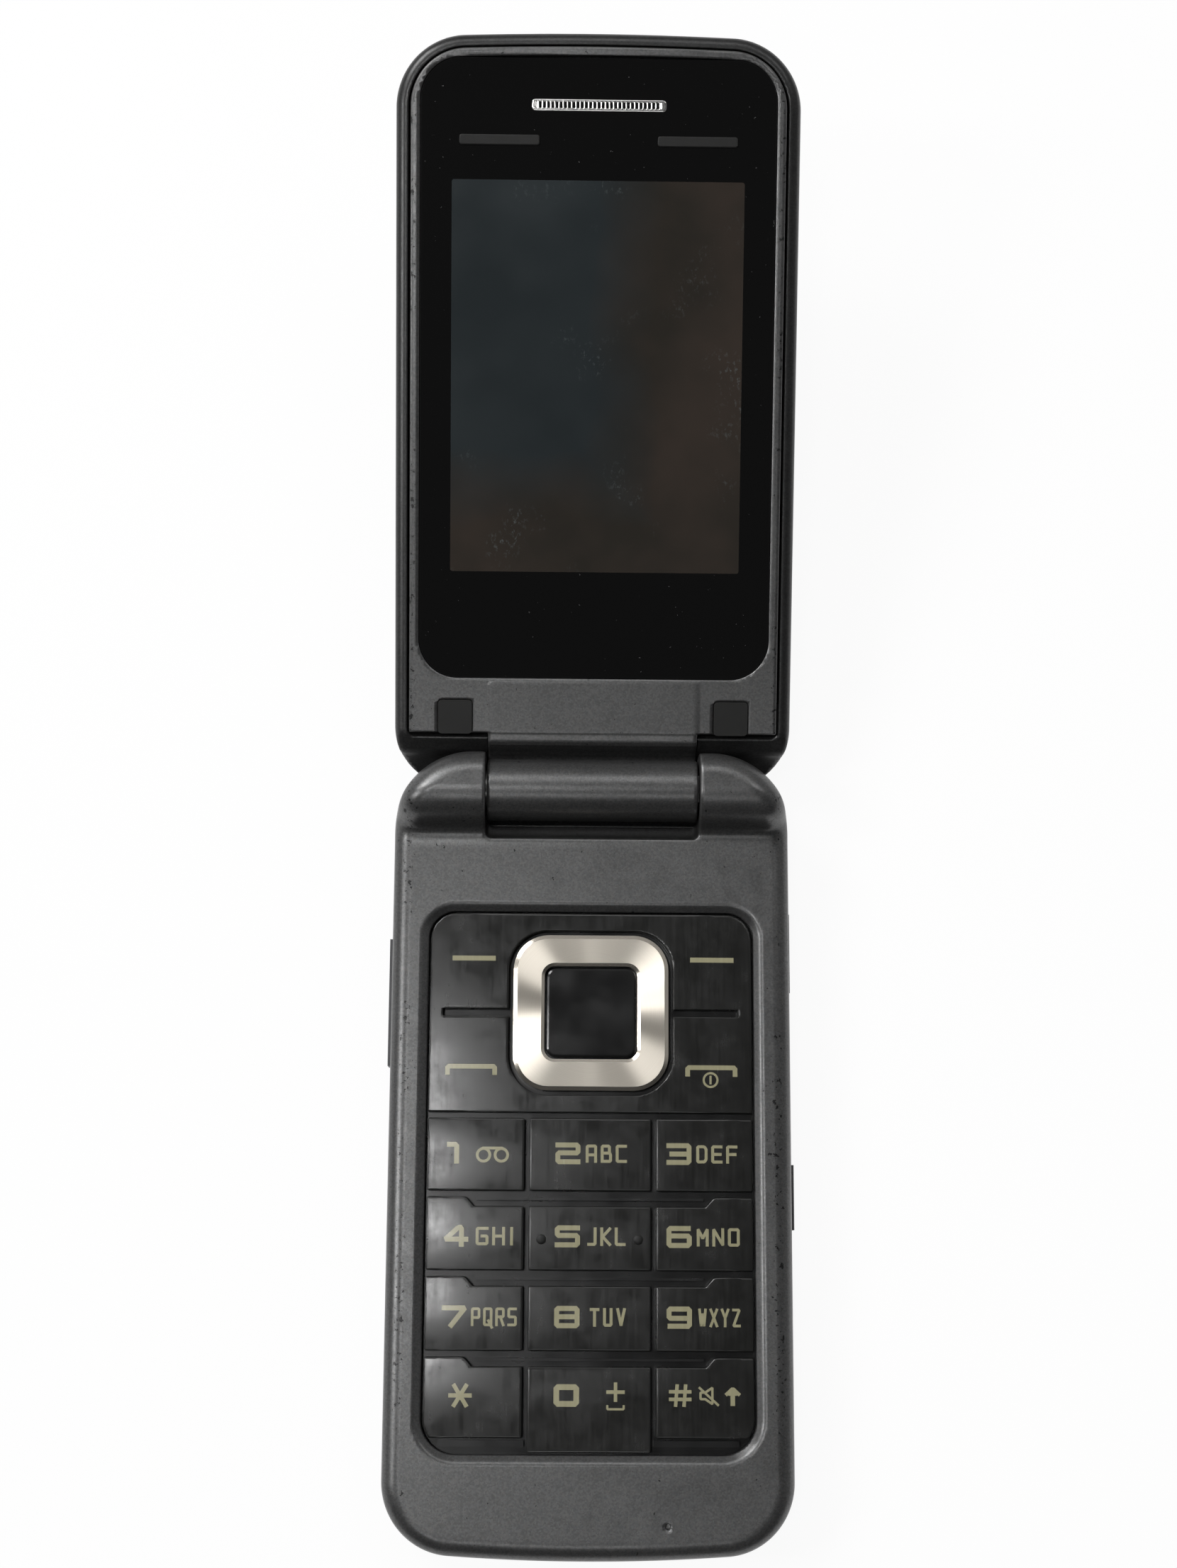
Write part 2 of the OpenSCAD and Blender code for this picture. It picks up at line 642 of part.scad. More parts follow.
// Silicone web under the keys, with the ribs that show between the number rows
module keypad_web() color("#2a2b2c") {
  translate([0, 0, web_z]) linear_extrude(web_t) window_plan(0.6);
  rib_half_l = relief_half_w - 1.3;
  for (r = [1 : 3]) box([-rib_half_l, row_top(r) - rib_drop - rib_h / 2, web_top - slice_t],
    [rib_half_l, row_top(r) - rib_drop + rib_h / 2, key_top - 0.3]);
  strip_x = mid_key_w / 2 + 0.4;
  for (side = [0, 1]) mirror([side, 0, 0]) box([strip_x, tab_low_y + 0.7, web_top - slice_t],
    [strip_x + strip_l, row_low(3) - 0.25, key_top - 0.5]);
}
strip_l = side_key_w - 0.4 * window_low_r + 0.1;

module microphone() color("#a9a9a9") translate([mic_x, mic_y, board_top])
  cylinder(r = 2, h = deck_under - board_top - fit_gap);

module loudspeaker() color("#2b2b2b") translate([0, 0, battery_z + 0.7])
  linear_extrude(board_z - battery_z - 0.8)
    round_plan(speaker_w, parts_y - speaker_l / 2, parts_y + speaker_l / 2, 2, 2);

module vibration_motor() color("#c2c4c6") translate([0, parts_y, board_z - motor_r - 0.1]) {
  motor_x = speaker_w / 2 + 0.6;
  weight_x = parts_half_w - 1.8;
  bar_x(motor_r, motor_x, weight_x - 0.4);
  intersection() {
    bar_x(motor_r - 0.1, weight_x, parts_half_w - 0.2);
    box([0, -far, -far], [far, 0.4, far]);
  }
  bar_x(0.3, motor_x, parts_half_w);
}

module antenna() color("#c9b98f") box([-parts_half_w, parts_y - speaker_l / 2, cover_t + 1],
  [-speaker_w / 2 - 0.6, parts_y + speaker_l / 2 - 1, board_z]);

// Metal frame for the chip card, open on the side where the card slides in
module sim_holder() color("#c6c8ca") difference() {
  holder_t = 1.5;
  box([-sim_w / 2, holder_y, board_z - holder_t], [sim_w / 2, holder_y + sim_l, board_z]);
  box([-sim_w / 2 - cut, holder_y + 0.5, board_z - holder_t + 0.3],
    [sim_w / 2 - 1, holder_y + sim_l - 0.5, board_z - 0.3]);
  box([-sim_w / 2 + 4, holder_y + 4, board_z - holder_t - cut],
    [sim_w / 2 - 5, holder_y + sim_l - 4, board_z - 0.5]);
}

module usb_connector() color("#c9ccd0") difference() {
  socket_x = body_w / 2 - flap_t - 0.3;
  shell_t = 0.3;
  box([socket_x - usb_l, usb_y - usb_w / 2, flap_z - usb_h / 2], [socket_x, usb_y + usb_w / 2, flap_z + usb_h / 2]);
  box([socket_x - usb_l + shell_t, usb_y - usb_w / 2 + shell_t, flap_z - usb_h / 2 + shell_t],
    [socket_x + cut, usb_y + usb_w / 2 - shell_t, flap_z + usb_h / 2 - shell_t]);
}

// The socket's flap turns out about a pin at its end nearest the hinge
flap_pin_r = 0.5;
flap_pin_x = body_w / 2 - flap_pin_r - 0.1;
flap_pin_y = usb_y + flap_w / 2;
module flap_pocket() box(
  [body_w / 2 - flap_t - side_gap, flap_pin_y - flap_w - side_gap, flap_z - flap_h / 2 - side_gap],
  [far, flap_pin_y + flap_pin_r + side_gap, flap_z + flap_h / 2 + side_gap]);

module usb_flap() color("#3f3f42") {
  translate([flap_pin_x, flap_pin_y, flap_z - flap_h / 2]) cylinder(r = flap_pin_r, h = flap_h);
  box([body_w / 2 - flap_t, flap_pin_y - flap_w, flap_z - flap_h / 2],
    [body_w / 2, flap_pin_y, flap_z + flap_h / 2]);
}

// A button bar that fills one side opening, with a flange inside the wall
module side_button(part) {
  face_x = body_w / 2 + side_key_rise;
  half_l = part[2] / 2;
  half_h = side_key_h / 2;
  mirror(part[0] < 0 ? [1, 0, 0] : [0, 0, 0]) translate([0, part[1], side_key_z]) {
    box([face_x - side_key_t, -half_l, -half_h], [face_x, half_l, half_h]);
    box([face_x - side_key_t - flange_t, -half_l - flange_w, -half_h - 0.3],
      [face_x - side_key_t + slice_t, half_l + flange_w, half_h + 0.3]);
  }
}

module volume_rocker() color("#3d3d40") side_button(side_keys[0]);
module camera_key() color("#3d3d40") side_button(side_keys[1]);

module side_switches() color("#d0d0cc") {
  inner_x = body_w / 2 + side_key_rise - side_key_t - flange_t - 0.35;
  for (y_mid = [rocker_y - rocker_l / 4, rocker_y + rocker_l / 4])
    box([-inner_x, y_mid - 1.2, board_z - side_key_h / 2], [-inner_x + switch_t, y_mid + 1.2, board_z]);
  box([inner_x - switch_t, camera_key_y - 1.2, board_z - side_key_h / 2], [inner_x, camera_key_y + 1.2, board_z]);
}

module base_screws() color("#8d8f92") base_screw_places() {
  translate([0, 0, screw_z - screw_head_t]) cylinder(r = screw_head_r, h = screw_head_t);
  translate([0, 0, screw_z - slice_t]) cylinder(r = screw_r, h = screw_top - screw_z);
}

// ---------------------------------------------------------------- keys

module keys_plan() round_plan(keys_w, tab_low_y, keys_top_y, window_low_r - rim_gap, window_top_r - rim_gap);

// Plan of one number key in row r and column c
module number_key_plan(r, c) intersection() {
  keys_plan();
  difference() {
    union() {
      translate([column_x[c], row_low(r)]) square([column_w[c], row_top(r) - row_low(r)]);
      if (r == 3 && c == 1) translate([column_x[c], tab_low_y]) square([column_w[c], tab_h + slice_t]);
    }
    if (r > 0) polygon([[-relief_half_w, row_top(r) + cut], [-relief_half_w, row_top(r)],
      [1 - relief_half_w, row_top(r) - relief_h], [relief_half_w - 1, row_top(r) - relief_h],
      [relief_half_w, row_top(r)], [relief_half_w, row_top(r) + cut]]);
  }
}

module number_key(r, c) color("#2d2f31") translate([0, 0, key_z]) linear_extrude(key_t) number_key_plan(r, c);

module ring_plan(w, r) translate([0, ring_y]) round_plan(w, -w / 2, w / 2, r, r);

// Plan of one function key: a quarter of the block around the ring
module function_key_plan(side, up) difference() {
  intersection() {
    keys_plan();
    translate([side > 0 ? seam / 2 : -far, up > 0 ? ring_y + seam / 2 : nav_low_y])
      square([far - seam / 2, up > 0 ? far : ring_y - seam / 2 - nav_low_y]);
  }
  ring_plan(ring_w + 2 * ring_gap, ring_r + ring_gap);
  translate([side > 0 ? 0 : -slit_end, ring_y - slit_h / 2]) square([slit_end, slit_h]);
}

module function_key(side, up) color("#2d2f31") translate([0, 0, key_z]) linear_extrude(key_t)
  function_key_plan(side, up);

module soft_key_left() function_key(-1, 1);
module soft_key_right() function_key(1, 1);
module call_key() function_key(-1, -1);
module end_key() function_key(1, -1);

ring_hole_r = 1.3;
module nav_ring() color("#c9c5be") translate([0, 0, ring_z]) linear_extrude(ring_t) difference() {
  ring_plan(ring_w, ring_r);
  ring_plan(ring_hole_w, ring_hole_r);
}

// Plate under the ring that rocks on the other axis
actuator_t = 0.25;
module nav_actuator() color("#55585b") translate([0, 0, key_z - 0.1]) linear_extrude(actuator_t) difference() {
  ring_plan(ring_w - 1, ring_r - 0.5);
  ring_plan(ring_hole_w + 0.4, ring_hole_r);
}

ok_gap = 0.3;
module ok_key() color("#232425") translate([0, 0, key_z]) linear_extrude(key_t)
  ring_plan(ring_hole_w - 2 * ok_gap, ring_hole_r - ok_gap);

// ---------------------------------------------------------------- hinge

shaft_square = 3.4;
case_t = 0.45;
case_r = hinge_bore_r - 0.02;
case_bore_r = case_r - case_t;
case_x = 1.5;
case_end = barrel_l / 2;
cam_t = 1.4;
cam_x = case_end - 0.7 - cam_t - fit_gap;
follower_t = 1.5;
follower_x = cam_x - fit_gap - follower_t;
spring_x = case_x + 0.6;
flex_w = 1.6;
flex_t = 0.15;
flex_x = -slot_half_l - socket_l - flex_w - 0.6;
flex_roll_r = 1.5;

// Spring cartridge in the right half of the barrel: it turns with the lid
module hinge_case() color("#9a9da1") at_hinge() difference() {
  bar_x(case_r, case_x, case_end);
  bar_x(case_bore_r, spring_x, case_end - 0.6);
  bar_x(shaft_r + run_gap + 0.3, case_end - 1, case_end + cut);
}

// Shaft with its cam and the square end that the right ear holds still
module hinge_shaft() color("#b5b8bb") at_hinge() {
  bar_x(shaft_r, spring_x + 1, slot_half_l);
  bar_x(case_bore_r - run_gap, cam_x, cam_x + cam_t);
  box([case_end + barrel_gap / 4, -shaft_square / 2, -shaft_square / 2],
    [slot_half_l + socket_l - fit_gap, shaft_square / 2, shaft_square / 2]);
}

module hinge_follower() color("#8f9296") at_hinge()
  tube_x(case_bore_r - run_gap, shaft_r + run_gap, follower_x, follower_x + follower_t);

function ring_points(x, turn, r, wire_r) = [for (k = [0 : 7])
  let (out = r + wire_r * cos(45 * k)) [x + wire_r * sin(45 * k), out * cos(turn), out * sin(turn)]];

// Helical spring, swept as one closed tube of eight sides
module hinge_spring() color("#7d8084") at_hinge() {
  wire_r = spring_wire / 2;
  mean_r = (case_bore_r + shaft_r) / 2;
  start = spring_x + wire_r + slice_t;
  rise = follower_x - 2 * wire_r - 2 * slice_t - spring_x;
  rings = 11 * spring_turns;
  points = [for (k = [0 : rings])
    each ring_points(start + rise * k / rings, 360 * spring_turns * k / rings, mean_r, wire_r)];
  sides = [for (k = [0 : rings - 1]) for (j = [0 : 7])
    [8 * k + j, 8 * k + (j + 1) % 8, 8 * k + 8 + (j + 1) % 8, 8 * k + 8 + j]];
  polyhedron(points, concat(sides, [[for (j = [7 : -1 : 0]) j], [for (j = [0 : 7]) 8 * rings + j]]), convexity = 10);
}

// Hollow pin on the left, held by the ear: the barrel turns on it
module hinge_sleeve() color("#a7aaad") at_hinge()
  tube_x(hinge_bore_r - run_gap, hinge_bore_r - 0.7, -slot_half_l - socket_l + fit_gap, -barrel_l / 2 + 5);

// Flex cable: rolled inside the barrel, with a tail to each board
module hinge_flex() color("#b07a35") {
  at_hinge() tube_x(flex_roll_r, flex_roll_r - flex_t, flex_x, 0.5);
  box([flex_x, hinge_y - flex_t / 2, board_top + 0.3],
    [flex_x + flex_w, hinge_y + flex_t / 2, hinge_z - flex_roll_r + flex_t / 2]);
  box([flex_x, hinge_screw_y + boss_r + 0.2, board_top + 0.3],
    [flex_x + flex_w, hinge_y + flex_t / 2, board_top + 0.3 + flex_t]);
  on_lid() {
    box([-1.1, -flex_t / 2, -flex_drop], [0.5, flex_t / 2, -flex_roll_r + flex_t / 2]);
    box([-1.1, -flex_t / 2, -flex_drop], [0.5, frame_start + 3, -flex_drop + flex_t]);
  }
}
flex_drop = 3.25;

// ---------------------------------------------------------------- lid

lid_outline = function(inset) bowed_outline(body_w, lid_reach, -lid_wrap, corner_r, lid_corner_r, inset);

// Outline of the room in the lid, or of the frame, set in from the lid's own outline
module inset_plan(inset, y_low, r_low) round_plan(body_w - 2 * inset, y_low, lid_reach - inset,
  r_low, corner_r - inset);

module glass_plan(grow) round_plan(window_w + 2 * grow, glass_from_hinge - grow,
  glass_from_hinge + window_l + grow, glass_r + grow, glass_r + grow);

// Room that the ears need in the lid: a round recess that opens to the inner face
module ear_recess(x_low, x_high) along_x(x_low, x_high) {
  circle(recess_r);
  polygon([[-recess_r - 2, 2], [-recess_r - 2, -1], [0, -1], [recess_r - 0.6, -2.2], [recess_end, inner_z - 0.5],
    [recess_end, 2]]);
}

module lid_screw_places() for (side = [-1, 1]) translate([side * cap_x, cap_from_hinge, 0]) children();
cap_depth = 0.6;
lid_screw_l = 3.6;

module lid_outer_cover() color("#3f3f42") on_lid() difference() {
  soft_slab(lid_outline, back_z, rim_z, back_edge_r, band_edge_r);
  translate([0, 0, room_z]) linear_extrude(far) inset_plan(band_w, frame_start - 0.3, 3);
  // Seat of the frame's hinge end
  round_box(body_w - 2 * band_w, recess_end - 0.5, frame_start + 6, frame_under - fit_gap, far, 1, 1);
  ear_recess(-far, far);
  box([-barrel_l / 2 - fit_gap, -far, -neck_depth - fit_gap], [barrel_l / 2 + fit_gap, frame_start + 1, far]);
  lid_screw_places() translate([0, 0, room_z]) cylinder(r = screw_r + run_gap, h = far);
  translate([0, camera_from_hinge, back_z - cut]) cylinder(r = camera_r + fit_gap / 2, h = lid_skin + 2 * cut);
  translate([0, 0, back_z - cut]) linear_extrude(status_t + cut) status_plan(fit_gap / 2);
}

// The frame's neck reaches this far behind the hinge axis
neck_depth = 4.6;

// The apron between the window and the barrel, in side view
module neck_profile() {
  circle(barrel_r);
  polygon([[0, -2], [4.9, -2.3], [apron_end, -1.2], [recess_end - 0.7, inner_z - 0.25], [recess_end, inner_z],
    [frame_start + 2, inner_z], [frame_start + 2, frame_under - 0.2], [frame_start, -neck_depth], [1.5, -neck_depth],
    [0, -barrel_r + 0.2]]);
}

module lid_inner_frame() color("#57575b") on_lid() difference() {
  union() {
    // Plate around the window, with a skirt inside the cover
    translate([0, 0, frame_under]) linear_extrude(frame_t) inset_plan(frame_inset, recess_end, 1);
    translate([0, 0, lid_board_z + 0.2]) linear_extrude(frame_under - lid_board_z) difference() {
      inset_plan(frame_inset, frame_start, 2);
      inset_plan(frame_inset + 0.9, frame_start + 1, 2);
    }
    along_x(-barrel_l / 2, barrel_l / 2) neck_profile();
  }
  translate([0, 0, glass_under]) linear_extrude(far) glass_plan(fit_gap / 2);
  round_box(lcd_w + 2 * fit_gap, lcd_from_hinge - fit_gap, lcd_from_hinge + lcd_l + fit_gap,
    frame_under - cut, far, 0.5, 0.5);
  round_box(earpiece_w + 2 * fit_gap, grille_from_hinge - earpiece_l / 2 - fit_gap,
    grille_from_hinge + earpiece_l / 2 + fit_gap, frame_under - cut, far, 1, 1);
  bar_x(hinge_bore_r, -far, far);
  for (side = [0, 1]) mirror([side, 0, 0]) ear_recess(barrel_l / 2, far);
  // Way of the flex cable out of the barrel
  box([-1.4, -0.3, -flex_drop - 0.2], [0.8, 0.3, -flex_roll_r]);
  box([-1.4, -0.3, -flex_drop - 0.2], [0.8, frame_start + 4, -flex_drop + 0.4]);
  lid_screw_places() {
    translate([0, 0, inner_z - cap_depth]) linear_extrude(far) square(cap_w + fit_gap, center = true);
    translate([0, 0, inner_z - cap_depth - screw_head_t]) cylinder(r = screw_head_r + fit_gap, h = far);
    translate([0, 0, -far]) cylinder(r = screw_r + run_gap, h = far);
  }
}

module display_window() color("#0d0c0c") on_lid() difference() {
  translate([0, 0, glass_under]) linear_extrude(glass_t) glass_plan(0);
  translate([0, 0, glass_under - cut]) linear_extrude(glass_t + 2 * cut) grille_plan(fit_gap / 2);
}

module grille_plan(grow) round_plan(grille_w + 2 * grow, grille_from_hinge - grille_h / 2 - grow,
  grille_from_hinge + grille_h / 2 + grow, 0.4, 0.4);

module display_module() color("#23292a") on_lid()
  round_box(lcd_w, lcd_from_hinge, lcd_from_hinge + lcd_l, lcd_under, lcd_top, 0.4, 0.4);

module lid_board() color("#1f5a3a") on_lid()
  round_box(lcd_w - 1, frame_start + 2, grille_from_hinge + 4, lid_board_z, lid_board_top, 2, 2);

module earpiece_grille() color("#d7d6d2") on_lid() difference() {
  pitch = 0.8;
  slot_w = 0.3;
  slots = floor(grille_w / pitch) - 1;
  translate([0, 0, glass_under]) linear_extrude(glass_t) grille_plan(0);
  for (k = [0 : slots - 1]) let (x = pitch * (k - (slots - 1) / 2))
    box([x - slot_w / 2, grille_from_hinge - grille_h / 3, inner_z - slot_w],
      [x + slot_w / 2, grille_from_hinge + grille_h / 3, inner_z + cut]);
}

module earpiece_speaker() color("#303234") on_lid() round_box(earpiece_w, grille_from_hinge - earpiece_l / 2,
  grille_from_hinge + earpiece_l / 2, lcd_under, glass_under - lcd_gap, 2, 2);

bumper_x = 12.3;
bumper_from_grille = 4.3;
bumper_w = 1.3;
module window_bumpers() color("#1c1b1a") on_lid() for (side = [-1, 1])
  translate([side * bumper_x, grille_from_hinge - bumper_from_grille, inner_z]) linear_extrude(bumper_rise)
    round_plan(bumper_l, -bumper_w / 2, bumper_w / 2, 0.5, 0.5);

module screw_caps() color("#2f2f2e") on_lid() lid_screw_places() translate([0, 0, inner_z - cap_depth])
  linear_extrude(cap_depth + 0.12) round_plan(cap_w, -cap_w / 2, cap_w / 2, 0.5, 0.5);

module lid_screws() color("#8d8f92") on_lid() lid_screw_places() {
  translate([0, 0, inner_z - cap_depth - screw_head_t]) cylinder(r = screw_head_r, h = screw_head_t);
  translate([0, 0, inner_z - cap_depth - lid_screw_l])
    cylinder(r = screw_r, h = lid_screw_l - screw_head_t + slice_t);
}

module lid_magnet() color("#9c9c98") on_lid() translate([-lcd_w / 2 + 3, lcd_from_hinge + lcd_l + 4, 0])
  box([-2, -2, lid_board_top], [2, 2, frame_under]);

module camera_module() color("#26282a") on_lid() translate([0, camera_from_hinge, 0]) {
  box([-3.2, -3.2, room_z + 0.1], [3.2, 3.2, lid_board_z]);
  translate([0, 0, room_z - 0.3]) cylinder(r = 2.2, h = 0.5);
}

module camera_window() color("#151617") on_lid() translate([0, camera_from_hinge, back_z])
  cylinder(r = camera_r, h = lid_skin - 0.35);

status_t = 0.7;
status_r = 2;
module status_plan(grow) round_plan(status_w + 2 * grow, status_from_hinge - status_h / 2 - grow,
  status_from_hinge + status_h / 2 + grow, status_r, status_r);

module status_window() color("#151617") on_lid() translate([0, 0, back_z]) linear_extrude(status_t) status_plan(0);

// ---------------------------------------------------------------- the phone

front_housing();
rear_housing();
battery_cover();
battery();
battery_contacts();
main_board();
shield_can();
dome_sheet();
keypad_web();
microphone();
loudspeaker();
vibration_motor();
antenna();
sim_holder();
usb_connector();
usb_flap();
side_switches();
volume_rocker();
camera_key();
base_screws();
number_key(0, 0);  // key_1
number_key(0, 1);  // key_2
number_key(0, 2);  // key_3
number_key(1, 0);  // key_4
number_key(1, 1);  // key_5
number_key(1, 2);  // key_6
number_key(2, 0);  // key_7
number_key(2, 1);  // key_8
number_key(2, 2);  // key_9
number_key(3, 0);  // key_star
number_key(3, 1);  // key_0
number_key(3, 2);  // key_hash
soft_key_left();
soft_key_right();
call_key();
end_key();
nav_actuator();
nav_ring();
ok_key();
hinge_case();
hinge_shaft();
hinge_follower();
hinge_spring();
hinge_sleeve();
hinge_flex();
lid_inner_frame();
lid_outer_cover();
display_window();
display_module();
lid_board();
earpiece_grille();
earpiece_speaker();
window_bumpers();
screw_caps();
lid_screws();
lid_magnet();
camera_module();
camera_window();
status_window();
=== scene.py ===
"""Flip phone, opened out on its back: its looks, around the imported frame.

Lengths are millimetres until a mesh is made. X is the keypad's right, Y runs to the
lid's tip and Z up out of the keypad. Lid pieces are shaped in the lid's own frame:
the hinge axis is its origin, Y runs to the tip and Z out of its inner face.
"""
import functools
import json
import math

import bmesh
import bpy
import numpy as np
from mathutils import Euler, Matrix, Vector


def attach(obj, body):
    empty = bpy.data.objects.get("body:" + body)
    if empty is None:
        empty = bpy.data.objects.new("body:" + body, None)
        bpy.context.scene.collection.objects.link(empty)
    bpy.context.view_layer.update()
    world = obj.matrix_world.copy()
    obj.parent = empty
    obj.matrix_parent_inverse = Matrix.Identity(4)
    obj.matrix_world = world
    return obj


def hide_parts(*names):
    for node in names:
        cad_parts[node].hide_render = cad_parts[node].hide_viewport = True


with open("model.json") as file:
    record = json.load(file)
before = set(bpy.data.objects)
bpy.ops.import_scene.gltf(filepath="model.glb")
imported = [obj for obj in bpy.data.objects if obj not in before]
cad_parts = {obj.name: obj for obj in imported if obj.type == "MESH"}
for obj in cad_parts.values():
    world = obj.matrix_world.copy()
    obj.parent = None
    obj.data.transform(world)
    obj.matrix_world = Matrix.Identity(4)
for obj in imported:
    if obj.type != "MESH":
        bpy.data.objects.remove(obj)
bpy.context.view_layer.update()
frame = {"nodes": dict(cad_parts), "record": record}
MM = 0.001

# ------------ sizes
# Most are the CAD's own. Fine forms differ: the lid tip's bow, the ears' ends and fillet, seams and gaps
# Outline in plan: half width, the base's ends, corner radii and the bow of each free end
HALF_W = 25.2
FREE_Y, END_Y = -49.5, 49.5
CORNER_R, EAR_CORNER_R, LID_CORNER_R = 8.9, 10.2, 9.1
BOW_R, LID_BOW_R = 240, 450
# The hinge's axis, and how far the open lid leans up from flat
HINGE_Y, HINGE_Z, LEAN = 44.8, 9.6, math.radians(17)
# Deck: its top, its underside, its split from the rear housing, and its rounded edge
DECK_Z, DECK_UNDER, SPLIT_Z, SPLIT_GAP, DECK_EDGE_R = 9.4, 8.2, 4.7, 0.03, 2.4
# Hinge ears: radius, edge, fillet to the deck, the slot between them, and the bores in them
EAR_R, EAR_EDGE_R, EAR_FILLET = 4.7, 3.3, 3.2
SLOT_R, SLOT_X = 6.1, 13.5
BORE_R, SOCKET_L, SHAFT_SQUARE = 2.6, 3.6, 3.4
# Room inside the base
WALL, ROOM_END_Y = 1.4, 37.3
# Keypad's window in the deck, with its bevel
WINDOW_X, WINDOW_TOP, WINDOW_LOW = 20.35, 29.3, -36.88
WINDOW_TOP_R, WINDOW_LOW_R, BEVEL_W, BEVEL_H = 3.4, 4.2, 0.95, 0.7
# Openings in the sides: side, ends in Y, ends in Z, depth. Rocker, camera key, flap, socket
SIDE_OPENINGS = [(-1, 9.85, 26.15, 3.35, 6.65, 2.2), (1, -10.15, -1.85, 3.35, 6.65, 2.2),
                 (1, 19.35, 30.15, 2.6, 6.9, 1.25), (1, 20.6, 28.4, 3.4, 6.1, 6.6)]
# Room behind the rocker and the camera key for their flanges: side, ends in Y. Then ends in X and Z
FLANGE_ROOMS = [(-1, 9.2, 26.8), (1, -10.8, -1.2)]
FLANGE_ROOM_X, FLANGE_ROOM_Z = (20.2, 24.2), (3, 7)
# Microphone hole: x, y and radius
MIC = (9.6, -45.1, 0.35)
# Keys: underside, top, outline, rows, the rows' notch, columns
KEY_Z, KEY_TOP = 7.75, 9.2
KEYS_X, KEYS_TOP, NAV_LOW, TAB_LOW = 20.1, 29.05, 4.2, -36.63
ROW_H, LAST_ROW_H, ROW_GAP, RELIEF_H, RELIEF_X = 8.9, 9.55, 0.72, 1.15, 15.3
COLUMNS = [(-20.1, -8.15), (-7.5, 7.5), (8.15, 20.1)]
# Navigation ring, the gap, slits and seams around it, and the centre key's gap and corners
RING_Y, RING_W, RING_R, RING_T, RING_TOP = 16.6, 19.4, 4.4, 1.3, 9.45
RING_HOLE, RING_HOLE_R = 11.6, 1.3
RING_GAP, SLIT_END, SLIT_H, SEAM = 0.6, 18.5, 0.9, 0.012
OK_GAP, OK_R = 0.25, 1.15
# Lid: heights of its inner face, rim, back and room, its band, frame, reach and recess
INNER_Z, RIM_Z, RIM_EDGE_R, GLASS_T, LID_BACK, LID_ROOM = -0.2, -0.8, 1.35, 1.0, -7.0, -5.8
BAND_W, FRAME_INSET, FRAME_T, FRAME_START, BACK_EDGE_R = 1.6, 1.85, 1.5, 11.65, 2.6
LID_REACH, LID_WRAP, LID_GAP, RECESS_R, RECESS_END = 94.3, 1.1, 0.12, 5.1, 7.2
BARREL_R, BARREL_X, NECK_DEPTH = 3.9, 13.1, 4.6
# Glass, display, grille, bumpers and screw caps
GLASS_X, GLASS_LOW, GLASS_HIGH, GLASS_R, GLASS_GAP = 22.1, 14.3, 91.3, 4.9, 0.05
SCREEN_X, SCREEN_LOW, SCREEN_HIGH, SCREEN_R = 18.2, 27.7, 76.15, 0.3
GRILLE_X, GRILLE_Y, GRILLE_H, GRILLE_PITCH = 8.35, 85.3, 1.45, 0.52
BUMPER_X, BUMPER_Y = (7.3, 17.3), (80.35, 81.65)
CAP_X, CAP_Y, CAP_HOLE_W, CAP_DEPTH = 17.5, 9.3, 4.4, 0.8
# Holes in the lid's back, with their floors: the camera's y and radius, and the status window's half
# width, ends in Y and corner radius
CAMERA_HOLE, CAMERA_HOLE_Z = (19, 3.45), -5.5
STATUS_HOLE, STATUS_HOLE_Z = (12.05, 28.45, 35.55, 2), -6.3
# Past this Y a lid outline follows the tip's bow
BOW_START = 80
# The lid's own frame, in the open pose
LID = Matrix.Translation((0, HINGE_Y, HINGE_Z)) @ Matrix.Rotation(LEAN, 4, "X")


# ------------ distance fields
def round_and(a, b, r):
    """Where both a and b are negative, with the edge between them rounded."""
    return np.minimum(-r, np.maximum(a, b)) + np.hypot(np.maximum(a + r, 0), np.maximum(b + r, 0))


def round_or(a, b, r):
    """Where a or b is negative, with the corner between them filled in by a radius."""
    return np.maximum(r, np.minimum(a, b)) - np.hypot(np.maximum(r - a, 0), np.maximum(r - b, 0))


def blend_or(a, b, reach):
    """Union with a fillet that fades out without a crease."""
    h = np.maximum(reach - np.abs(a - b), 0) / reach
    return np.minimum(a, b) - h ** 3 * reach / 6


def without(a, b, r):
    """a with b cut out, with the edges rounded."""
    return round_and(a, -b, r)


def union(*fields):
    return functools.reduce(np.minimum, fields)


def rect(x, y, x_low, x_high, y_low, y_high, r_low=0.0, r_high=None):
    """Distance to a rectangle with its own corner radius at each end of Y."""
    mid = (y_low + y_high) / 2
    r = np.where(y > mid, r_low if r_high is None else r_high, r_low)
    u = np.abs(x - (x_low + x_high) / 2) - (x_high - x_low) / 2 + r
    v = np.abs(y - mid) - (y_high - y_low) / 2 + r
    return np.minimum(np.maximum(u, v), 0) + np.hypot(np.maximum(u, 0), np.maximum(v, 0)) - r


def block(x, y, z, low, high, r=0.0):
    return round_and(rect(x, y, low[0], high[0], low[1], high[1], r),
                     np.maximum(low[2] - z, z - high[2]), max(r, 1e-6))


def polygon(u, v, points):
    """Distance to a polygon in the plane."""
    best, sign = None, None
    for k in range(len(points)):
        (ax, ay), (bx, by) = points[k], points[k - 1]
        ex, ey = bx - ax, by - ay
        wx, wy = u - ax, v - ay
        t = np.clip((wx * ex + wy * ey) / (ex * ex + ey * ey), 0, 1)
        near = np.hypot(wx - ex * t, wy - ey * t)
        best = near if best is None else np.minimum(best, near)
        c1, c2, c3 = v >= ay, v < by, ex * wy > ey * wx
        flip = np.where((c1 & c2 & c3) | (~c1 & ~c2 & ~c3), -1.0, 1.0)
        sign = flip if sign is None else sign * flip
    return best * sign


